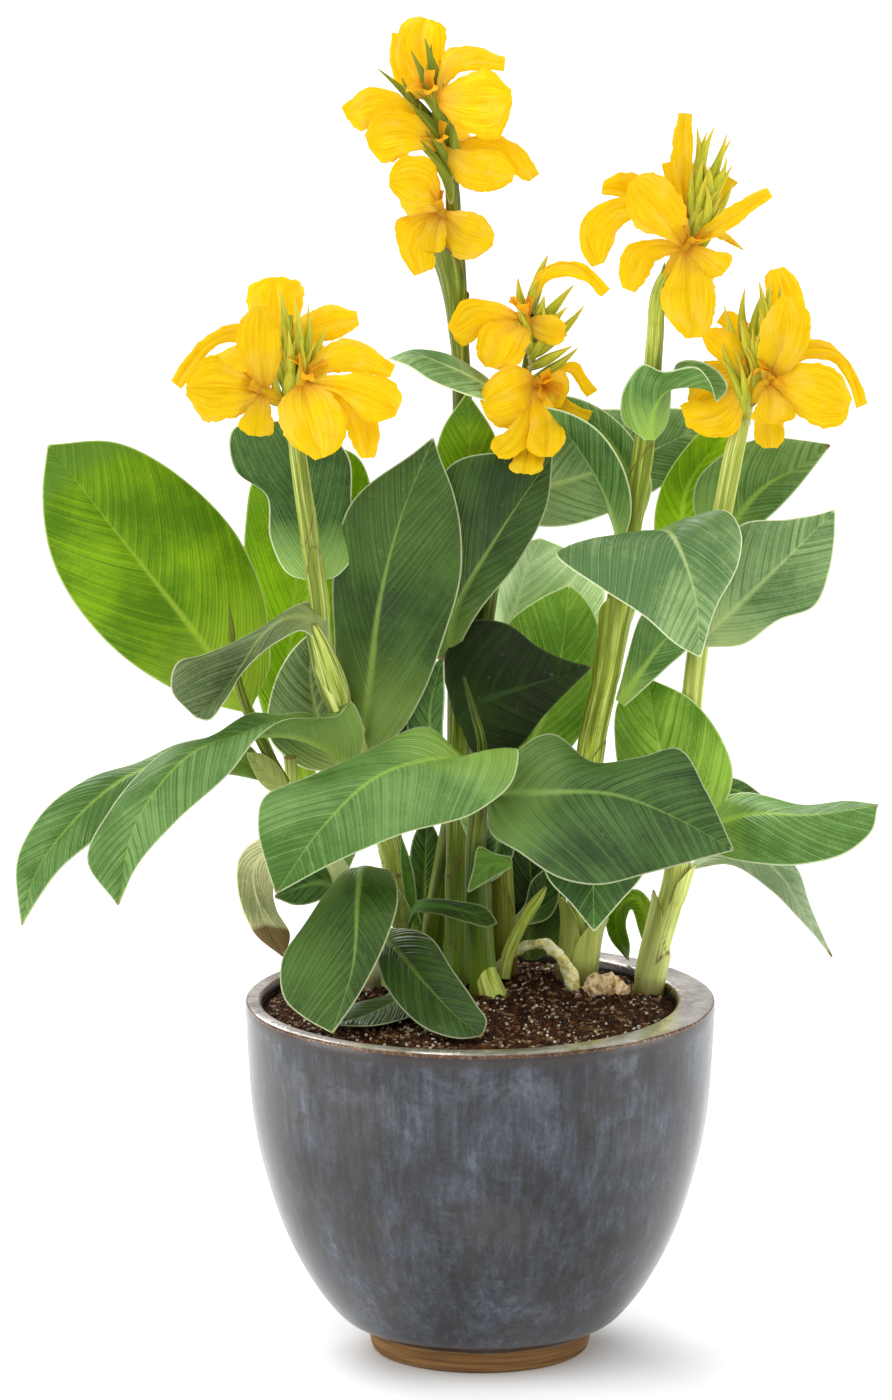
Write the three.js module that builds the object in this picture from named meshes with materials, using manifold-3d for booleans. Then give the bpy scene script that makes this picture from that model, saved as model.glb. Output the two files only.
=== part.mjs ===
// Canna lily in a glazed stoneware pot: millimetres, +Z up, origin on the ground under the pot.
import * as THREE from 'three';
import { mergeVertices } from 'three/addons/utils/BufferGeometryUtils.js';
import Module from 'manifold-3d';

const wasm = await Module();
wasm.setup();

// Driving dimensions of the pot and the ground in it
const RIM_HEIGHT = 357;
const RIM_RADIUS = 232;
const MOUTH_RADIUS = 205.5;
const MOUTH_SHIFT = -11;
const FOOT_HEIGHT = 23;
const FOOT_RADIUS = 108;
const DRAIN_RADIUS = 9;
const DRAIN_REACH = 55;
const DRAIN_COUNT = 3;
const FLOOR_HEIGHT = 26;
const POT_SIDES = 30;

// The ground: a low mound with lumps of loose peat, and how deep the stems stand in it
const SOIL_EDGE = 344;
const SOIL_RISE = 22;
const SOIL_STEPS = 8;
const LUMP_HEIGHT = 2.2;
const LUMP_LENGTHS = [17, 14, 31];
const ROOT_DEPTH = 32;

// Pieces that touch keep this gap, and corners closer together than a sliver are made one
const GAP = 0.3;
const SLIVER = 0.05;

// Leaf blades and petals: strips on each side of the rib, half width of the foot and of the tip,
// thickness, depth of the keel under the rib, and how high each side arches
const LEAF = { sides: 2, foot: 6, tip: 1.2, thick: 1.2, keel: 3.5, arch: 0.07 };
const PETAL = { sides: 1, foot: 3, tip: 2.5, thick: 1, keel: 0, arch: 0.1 };
const STEM_SIDES = 7;
const TUBE_SIDES = 6;
const TUBE_RADII = [3.5, 7, 7.5, 4];
const BUD_SIDES = 4;
const BUD_LENGTH = 62;
const BUD_RADII = [1.8, 4.4, 0.8];
const STEM_SAMPLES = 120;

// Every place on the plant is [across, rise, behind]. Across and rise are read in millimetres
// on a leaning board that stands on the pot's axis, as an eye far in front of the pot sights
// past the place onto the board. Behind is how far back the place lies from the pot's axis.
const EYE_TILT = THREE.MathUtils.degToRad(12.4);
const EYE_DISTANCE = 12000;
const BOARD_MIDDLE = [-34, 645];
const onBoard = (across, rise) =>
  new THREE.Vector3(across, rise * Math.sin(EYE_TILT), rise * Math.cos(EYE_TILT));
const EYE = onBoard(...BOARD_MIDDLE)
  .add(new THREE.Vector3(0, -Math.cos(EYE_TILT), Math.sin(EYE_TILT)).multiplyScalar(EYE_DISTANCE));

function place([across, rise, behind]) {
  const line = onBoard(across, rise).sub(EYE);
  return line.multiplyScalar((behind - EYE.y) / line.y).add(EYE);
}

const curve = points => new THREE.CatmullRomCurve3(points, false, 'chordal');

// ---- Stems: [across, rise, behind, radius] from the ground up, then the tips of the buds ----

const STEMS = [
  ['stem_left', [
    [-70, 372, 70, 13], [-75, 427, 62, 13], [-88, 495, 52, 13], [-120, 600, 30, 13],
    [-147, 655, 10, 12], [-164, 762, -15, 9], [-173, 825, -22, 9.5], [-182, 890, -30, 9],
    [-189, 957, -30, 7], [-190, 1000, -28, 4], [-190, 1030, -26, 2.5]],
  [[-201, 1059, -32], [-186, 1047, -45], [-172, 1041, -30], [-214, 1039, -25], [-152, 1022, -30]]],
  ['stem_tall', [
    [-22, 361, 44, 13], [-21, 520, 62, 13], [-20, 700, 75, 12], [-18, 955, 85, 10],
    [-20, 1005, 85, 9], [-23, 1083, 85, 8], [-28, 1150, 85, 6], [-32, 1225, 85, 4],
    [-38, 1285, 83, 2.5]],
  [[-55, 1307, 85], [-69, 1295, 78], [-49, 1301, 95], [-102, 1277, 85], [-78, 1268, 70],
    [-69, 1241, 62], [-39, 1271, 80]]],
  ['stem_middle', [
    [-48, 378, 90, 12], [-20, 560, 92, 12], [6, 745, 92, 11], [30, 880, 90, 8],
    [48, 985, 88, 5], [54, 1035, 87, 3], [58, 1060, 86, 2]],
  [[68, 1091, 85], [38, 1068, 82], [94, 1061, 88], [104, 1040, 90]]],
  ['stem_right', [
    [97, 370, 76, 19], [101, 430, 73, 14], [105, 545, 70, 14], [112, 605, 66, 14],
    [125, 665, 62, 13], [138, 745, 60, 12], [152, 825, 60, 11], [163, 895, 55, 11],
    [170, 945, 50, 10], [175, 1005, 45, 9], [180, 1055, 40, 8], [196, 1088, 36, 5],
    [212, 1120, 34, 4], [222, 1160, 33, 2.5]],
  [[217, 1218, 30], [227, 1214, 38], [234, 1218, 25], [247, 1212, 34], [251, 1206, 42],
    [247, 1189, 28], [253, 1164, 30]]],
  ['stem_far_right', [
    [168, 351, 66, 14], [197, 474, 62, 13], [206, 570, 58, 12], [214, 666, 52, 11],
    [228, 760, 45, 10.5], [243, 835, 38, 10.5], [256, 900, 30, 10], [264, 930, 28, 8],
    [276, 975, 26, 5], [284, 1020, 26, 4], [290, 1055, 26, 2.5]],
  [[244, 1040, 20], [265, 1058, 28], [279, 1064, 18], [283, 1054, 35], [290, 1063, 24],
    [300, 1063, 30], [263, 1025, 12]]],
  ['shoot_front', [
    [4, 342, 2, 14], [0, 400, 0, 12.5], [-4, 480, -5, 11], [0, 560, -12, 8],
    [2, 600, -15, 5], [-8, 640, -18, 3.5], [-16, 668, -20, 1.2]], []],
  ['shoot_left', [
    [-110, 368, 40, 12], [-125, 440, 20, 12], [-160, 500, 0, 11], [-205, 555, -10, 8],
    [-216, 575, -10, 3]], []],
  ['shoot_back', [
    [25, 388, 78, 12], [22, 470, 85, 11], [18, 560, 95, 8], [15, 610, 98, 2]], []],
];

// Leaves: name, the share of the rib that is bare stalk, then the rib, the left margin and the
// right margin, each from the foot to the tip, left and right as seen on the upper face
const LEAVES = [
  ['leaf_left_upright', 0.2,
    [[-198, 560, -6], [-235, 640, 5], [-280, 705, 15], [-350, 795, 20], [-432, 900, 10]],
    [[-268, 640, 14], [-315, 660, 5], [-385, 715, 0], [-428, 785, 0], [-438, 850, 5]],
    [[-210, 680, 30], [-212, 725, 45], [-240, 805, 55], [-295, 865, 50], [-365, 903, 35]]],
  ['leaf_left_back', 0.16,
    [[-150, 492, 15], [-185, 600, 50], [-190, 700, 75], [-180, 800, 82], [-172, 905, 80]],
    [[-220, 640, 60], [-232, 740, 75], [-235, 820, 80], [-225, 870, 82]],
    [[-150, 640, 70], [-125, 740, 85], [-106, 840, 88], [-122, 888, 86]]],
  ['leaf_left_collar', 0,
    [[-164, 765, 2], [-172, 820, 18], [-185, 880, 25], [-195, 925, 22]],
    [[-190, 770, 8], [-210, 805, 18], [-214, 850, 25], [-245, 875, 20], [-248, 915, 15]],
    [[-150, 766, 5], [-128, 785, 12], [-128, 845, 20], [-132, 890, 22], [-160, 918, 22]]],
  ['leaf_left_folded', 0.26,
    [[-135, 645, 0], [-152, 695, -14], [-163, 716, -20], [-176, 727, -26], [-194, 727, -34],
      [-215, 712, -45], [-240, 676, -62], [-262, 648, -75], [-286, 628, -85]],
    [[-180, 714, -34], [-200, 704, -46], [-220, 690, -64], [-240, 668, -80], [-256, 642, -90],
      [-272, 624, -90]],
    [[-156, 738, -14], [-172, 744, -14], [-190, 738, -18], [-212, 722, -28], [-245, 704, -40],
      [-280, 689, -52], [-303, 682, -62], [-309, 656, -72]]],
  ['leaf_left_grey', 0,
    [[-138, 575, 42], [-160, 620, 45], [-170, 670, 42], [-166, 715, 38]],
    [[-178, 578, 38], [-210, 605, 40], [-208, 655, 40], [-188, 695, 40]],
    [[-120, 600, 50], [-128, 650, 46], [-146, 695, 42]]],
  ['leaf_left_drooping', 0,
    [[-130, 580, 14], [-150, 593, -6], [-170, 603, -22], [-195, 610, -38], [-218, 610, -52],
      [-290, 590, -105], [-345, 520, -130], [-362, 440, -140]],
    [[-116, 600, 2], [-121, 632, -4], [-129, 644, -8], [-140, 631, -22], [-165, 627, -44],
      [-193, 626, -62], [-220, 609, -84], [-250, 572, -112], [-305, 522, -138], [-343, 478, -148]],
    [[-145, 608, 18], [-170, 632, 4], [-200, 631, -14], [-228, 633, -32], [-262, 612, -52],
      [-320, 590, -86], [-370, 535, -113], [-393, 485, -130]]],
  ['leaf_far_left_drooping', 0,
    [[-205, 566, -4], [-260, 590, -20], [-340, 575, -50], [-410, 520, -80], [-445, 470, -90],
      [-458, 420, -95]],
    [[-260, 570, -40], [-330, 545, -80], [-385, 505, -95], [-420, 475, -100], [-445, 440, -98]],
    [[-240, 605, 0], [-300, 602, -20], [-350, 580, -35], [-395, 565, -50], [-440, 530, -65],
      [-463, 485, -80], [-462, 442, -90]]],
  ['leaf_centre_upright', 0,
    [[-118, 592, 22], [-110, 665, 12], [-100, 745, 0], [-80, 825, -5], [-47, 907, 0]],
    [[-134, 625, 32], [-145, 695, 25], [-146, 775, 20], [-130, 840, 15], [-62, 896, 3]],
    [[-88, 605, 15], [-60, 645, 10], [-40, 695, 5], [-18, 785, 5], [-27, 855, 5], [-40, 888, 3]]],
  ['leaf_centre_dark', 0,
    [[-34, 680, 62], [-24, 735, 30], [18, 810, 24], [72, 890, 28]],
    [[-60, 720, 45], [-62, 790, 30], [-50, 850, 22], [-27, 882, 20], [25, 893, 24]],
    [[-5, 728, 30], [40, 785, 28], [68, 843, 26]]],
  ['leaf_tall_stem', 0,
    [[-14, 745, 62], [-12, 800, 55], [-10, 870, 50], [-13, 952, 52]],
    [[-40, 800, 58], [-47, 870, 55], [-38, 915, 54]],
    [[15, 800, 58], [26, 870, 56], [14, 912, 54]]],
  ['leaf_middle_arching', 0,
    [[34, 925, 80], [20, 948, 68], [-5, 966, 50], [-35, 980, 30], [-65, 990, 10], [-92, 986, -8]],
    [[15, 940, 42], [-20, 952, 10], [-50, 965, -8], [-75, 980, -14]],
    [[12, 962, 76], [-10, 978, 66], [-30, 991, 56], [-62, 996, 38]]],
  ['leaf_back_level', 0.08,
    [[-8, 832, 92], [35, 850, 114], [80, 862, 122], [150, 885, 135], [235, 925, 150]],
    [[20, 895, 118], [60, 930, 125], [110, 936, 135], [160, 936, 145], [205, 936, 150]],
    [[30, 825, 112], [75, 818, 108], [130, 832, 118], [190, 865, 138]]],
  ['leaf_right_arching', 0,
    [[140, 797, 60], [126, 845, 50], [100, 893, 35], [66, 938, 15]],
    [[130, 842, 78], [108, 890, 66], [78, 925, 46]],
    [[152, 840, 42], [140, 885, 30], [112, 920, 22], [84, 934, 16]]],
  ['leaf_right_behind', 0,
    [[156, 822, 72], [148, 870, 84], [122, 915, 84], [78, 950, 72]],
    [[130, 845, 94], [110, 890, 98], [86, 925, 90]],
    [[172, 860, 90], [160, 896, 92], [126, 933, 88], [100, 946, 82]]],
  ['leaf_right_collar', 0,
    [[170, 905, 40], [176, 937, 34], [188, 953, 24], [210, 957, 14], [232, 951, 4],
      [237, 943, 0]],
    [[142, 925, 44], [141, 945, 40], [148, 965, 30], [164, 981, 18], [180, 974, 8],
      [220, 976, -6], [230, 963, -6]],
    [[186, 920, 60], [190, 938, 60], [192, 962, 50], [198, 983, 36], [220, 984, 24],
      [242, 970, 14], [248, 957, 8]]],
  ['leaf_right_bright', 0,
    [[222, 760, 62], [205, 800, 100], [205, 850, 125], [235, 900, 130], [262, 932, 125]],
    [[176, 800, 108], [180, 855, 125], [206, 898, 132], [238, 927, 132]],
    [[228, 800, 100], [246, 850, 115], [262, 898, 118]]],
  ['leaf_far_right_upper', 0,
    [[238, 800, 52], [287, 860, 75], [319, 878, 85], [350, 900, 90]],
    [[216, 825, 72], [217, 865, 84], [240, 889, 90], [285, 907, 102], [322, 905, 102]],
    [[280, 820, 60], [310, 848, 70], [333, 876, 78]]],
  ['leaf_far_right_wide', 0,
    [[222, 702, 38], [270, 750, 20], [320, 800, 10], [355, 835, 5]],
    [[232, 765, 36], [262, 821, 30], [310, 826, 22], [342, 832, 12]],
    [[262, 700, 18], [300, 725, 5], [334, 738, 0], [350, 775, -2], [355, 808, 0]]],
  ['leaf_right_hanging', 0,
    [[152, 790, 44], [180, 812, 10], [195, 805, -40], [215, 750, -75], [220, 688, -90]],
    [[200, 822, 25], [250, 832, 0], [262, 810, -25], [258, 780, -45], [235, 735, -70]],
    [[118, 797, 22], [76, 791, -15], [120, 757, -50], [165, 728, -70], [200, 698, -85]]],
  ['leaf_right_low', 0,
    [[140, 642, 52], [162, 675, 42], [188, 708, 28], [212, 728, 18]],
    [[148, 690, 50], [165, 735, 38], [192, 752, 26]],
    [[160, 652, 44], [190, 680, 34], [210, 700, 24]]],
  ['leaf_right_bright_low', 0,
    [[200, 505, 46], [190, 560, 50], [175, 620, 60], [168, 667, 66]],
    [[152, 540, 76], [135, 600, 84], [142, 650, 76]],
    [[238, 530, 40], [253, 570, 36], [240, 610, 36], [212, 645, 38]]],
  ['leaf_front_right', 0,
    [[8, 548, -20], [60, 552, -50], [135, 550, -85], [200, 525, -110], [253, 495, -125]],
    [[22, 578, -14], [70, 610, -8], [115, 584, -28], [160, 588, -45], [197, 597, -62],
      [226, 555, -95]],
    [[10, 515, -48], [40, 492, -90], [85, 465, -125], [115, 460, -135], [170, 472, -140],
      [218, 485, -136]]],
  ['leaf_front_left', 0,
    [[0, 577, -18], [-30, 585, -45], [-100, 570, -95], [-160, 515, -135], [-204, 452, -160]],
    [[37, 597, -36], [33, 565, -62], [0, 535, -90], [-80, 510, -128], [-150, 480, -150]],
    [[-20, 590, -15], [-50, 617, -12], [-110, 595, -34], [-175, 567, -72], [-218, 545, -105],
      [-222, 515, -130], [-214, 480, -150]]],
  ['leaf_centre_shaded', 0,
    [[-24, 628, 58], [5, 645, 40], [50, 660, 25], [111, 678, 12]],
    [[-36, 680, 55], [-10, 724, 46], [25, 722, 36], [60, 697, 24], [90, 684, 16]],
    [[0, 588, 44], [30, 592, 35], [65, 630, 22], [90, 656, 15]]],
  ['leaf_back_pale', 0,
    [[14, 690, 104], [34, 735, 106], [48, 780, 108], [62, 807, 110]],
    [[12, 730, 122], [18, 775, 124], [32, 798, 118]],
    [[80, 700, 112], [118, 725, 116], [125, 755, 116], [92, 793, 114]]],
  ['leaf_middle_upright', 0,
    [[6, 540, 80], [45, 590, 75], [72, 650, 72], [84, 710, 70], [89, 760, 68]],
    [[18, 610, 70], [16, 670, 66], [28, 722, 64], [62, 748, 65]],
    [[66, 570, 84], [106, 620, 86], [118, 680, 84], [115, 730, 78], [100, 752, 72]]],
  ['leaf_far_right_level', 0,
    [[212, 508, 48], [238, 522, 30], [275, 531, 5], [330, 530, -25], [398, 540, -50]],
    [[228, 538, 50], [260, 552, 40], [320, 541, 16], [368, 544, -14]],
    [[238, 490, 10], [280, 481, -30], [320, 480, -50], [375, 497, -62], [393, 515, -60]]],
  ['leaf_far_right_thin', 0,
    [[210, 478, 72], [260, 500, 70], [300, 470, 52], [325, 430, 34], [352, 388, 20]],
    [[270, 508, 86], [317, 477, 66], [328, 445, 50], [342, 412, 32]],
    [[250, 480, 55], [290, 455, 40], [320, 425, 26], [342, 400, 22]]],
  ['leaf_front_hanging', 0,
    [[108, 560, 54], [112, 545, 0], [113, 480, -50], [114, 414, -70]],
    [[150, 528, 0], [165, 475, -38], [138, 440, -58]],
    [[76, 526, 0], [66, 470, -38], [92, 440, -58]]],
  ['leaf_pot_left', 0,
    [[-136, 462, 6], [-122, 478, -35], [-123, 440, -90], [-127, 380, -135], [-148, 312, -172]],
    [[-88, 474, -34], [-82, 445, -75], [-100, 390, -118], [-122, 348, -150]],
    [[-150, 458, -48], [-180, 415, -85], [-199, 380, -112], [-195, 345, -138], [-174, 326, -158]]],
  ['leaf_pot_front', 0,
    [[-112, 404, 16], [-90, 400, -40], [-52, 358, -100], [-20, 325, -138], [2, 309, -158]],
    [[-85, 417, -25], [-50, 408, -60], [-25, 372, -95], [-3, 340, -127], [7, 322, -149]],
    [[-104, 390, -66], [-95, 360, -105], [-75, 333, -132], [-50, 314, -154], [-18, 306, -163]]],
  ['leaf_on_soil', 0,
    [[-98, 366, 26], [-80, 350, -25], [-112, 331, -85], [-150, 320, -124]],
    [[-66, 330, -95], [-105, 319, -125]],
    [[-92, 352, -18], [-128, 340, -56]]],
  ['leaf_dried', 0,
    [[-156, 484, -8], [-200, 500, -20], [-225, 480, -40], [-218, 430, -50], [-196, 388, -55]],
    [[-190, 486, -4], [-205, 462, -18], [-204, 436, -34], [-190, 410, -44]],
    [[-212, 510, -34], [-240, 490, -50], [-242, 450, -60], [-226, 412, -62]]],
  ['leaf_small_oval', 0.4,
    [[-76, 408, 46], [-66, 436, 10], [-52, 440, -30], [-22, 436, -50], [17, 422, -60]],
    [[-45, 446, -28], [-20, 444, -42], [8, 436, -54]],
    [[-40, 430, -42], [-12, 422, -58], [10, 418, -63]]],
];

// Small leaves that grow together with a stem: stem, then the same values as a leaf
const STEM_LEAVES = [
  ['shoot_front', 0.2,
    [[-4, 500, -4], [-30, 565, 15], [-50, 620, 18], [-37, 690, 15]],
    [[-66, 590, 22], [-72, 640, 20]],
    [[-36, 600, 14], [-35, 650, 12]]],
  ['shoot_left', 0.2,
    [[-140, 470, 10], [-110, 540, 40], [-85, 600, 30], [-72, 655, 24]],
    [[-108, 590, 32], [-98, 630, 28]],
    [[-66, 585, 26], [-58, 625, 22]]],
  ['stem_tall', 0.3,
    [[-18, 530, 60], [16, 520, 30], [14, 485, 8], [-12, 453, -8]],
    [[34, 500, 22], [26, 475, 6]],
    [[6, 528, 22], [0, 495, 8]]],
  ['shoot_left', 0.1,
    [[-135, 460, 14], [-165, 462, -12], [-205, 448, -30]],
    [[-152, 448, -8], [-186, 440, -24]],
    [[-155, 480, -4], [-190, 470, -22]]],
  ['shoot_back', 0.1,
    [[28, 420, 84], [48, 425, 104], [62, 450, 112], [68, 478, 112]],
    [[44, 440, 110], [52, 465, 112]],
    [[72, 430, 108], [80, 455, 110]]],
  ['stem_far_right', 0.1,
    [[206, 530, 60], [235, 555, 78], [285, 547, 82]],
    [[222, 566, 88], [258, 566, 90]],
    [[236, 540, 72], [264, 544, 76]]],
  ['stem_far_right', 0.1,
    [[172, 378, 68], [168, 425, 84], [156, 448, 98], [138, 436, 114], [140, 402, 134],
      [148, 385, 146]],
    [[160, 410, 86], [152, 436, 96], [146, 424, 108], [150, 400, 126]],
    [[177, 430, 86], [158, 456, 104], [130, 442, 120], [129, 408, 140]]],
];

// Rhizomes that lie bare on the ground: [across, rise, behind, radius]
const RHIZOMES = [
  ['rhizome_arch', [
    [16, 378, 64, 3.5], [30, 390, 60, 4], [46, 399, 56, 4.8], [64, 401, 50, 5.2], [80, 388, 42, 5.8],
    [91, 368, 34, 7], [95, 350, 30, 7]]],
  ['rhizome_right', [
    [106, 350, 20, 9], [120, 359, 26, 13], [136, 356, 30, 11], [146, 345, 34, 7]]],
];

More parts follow.
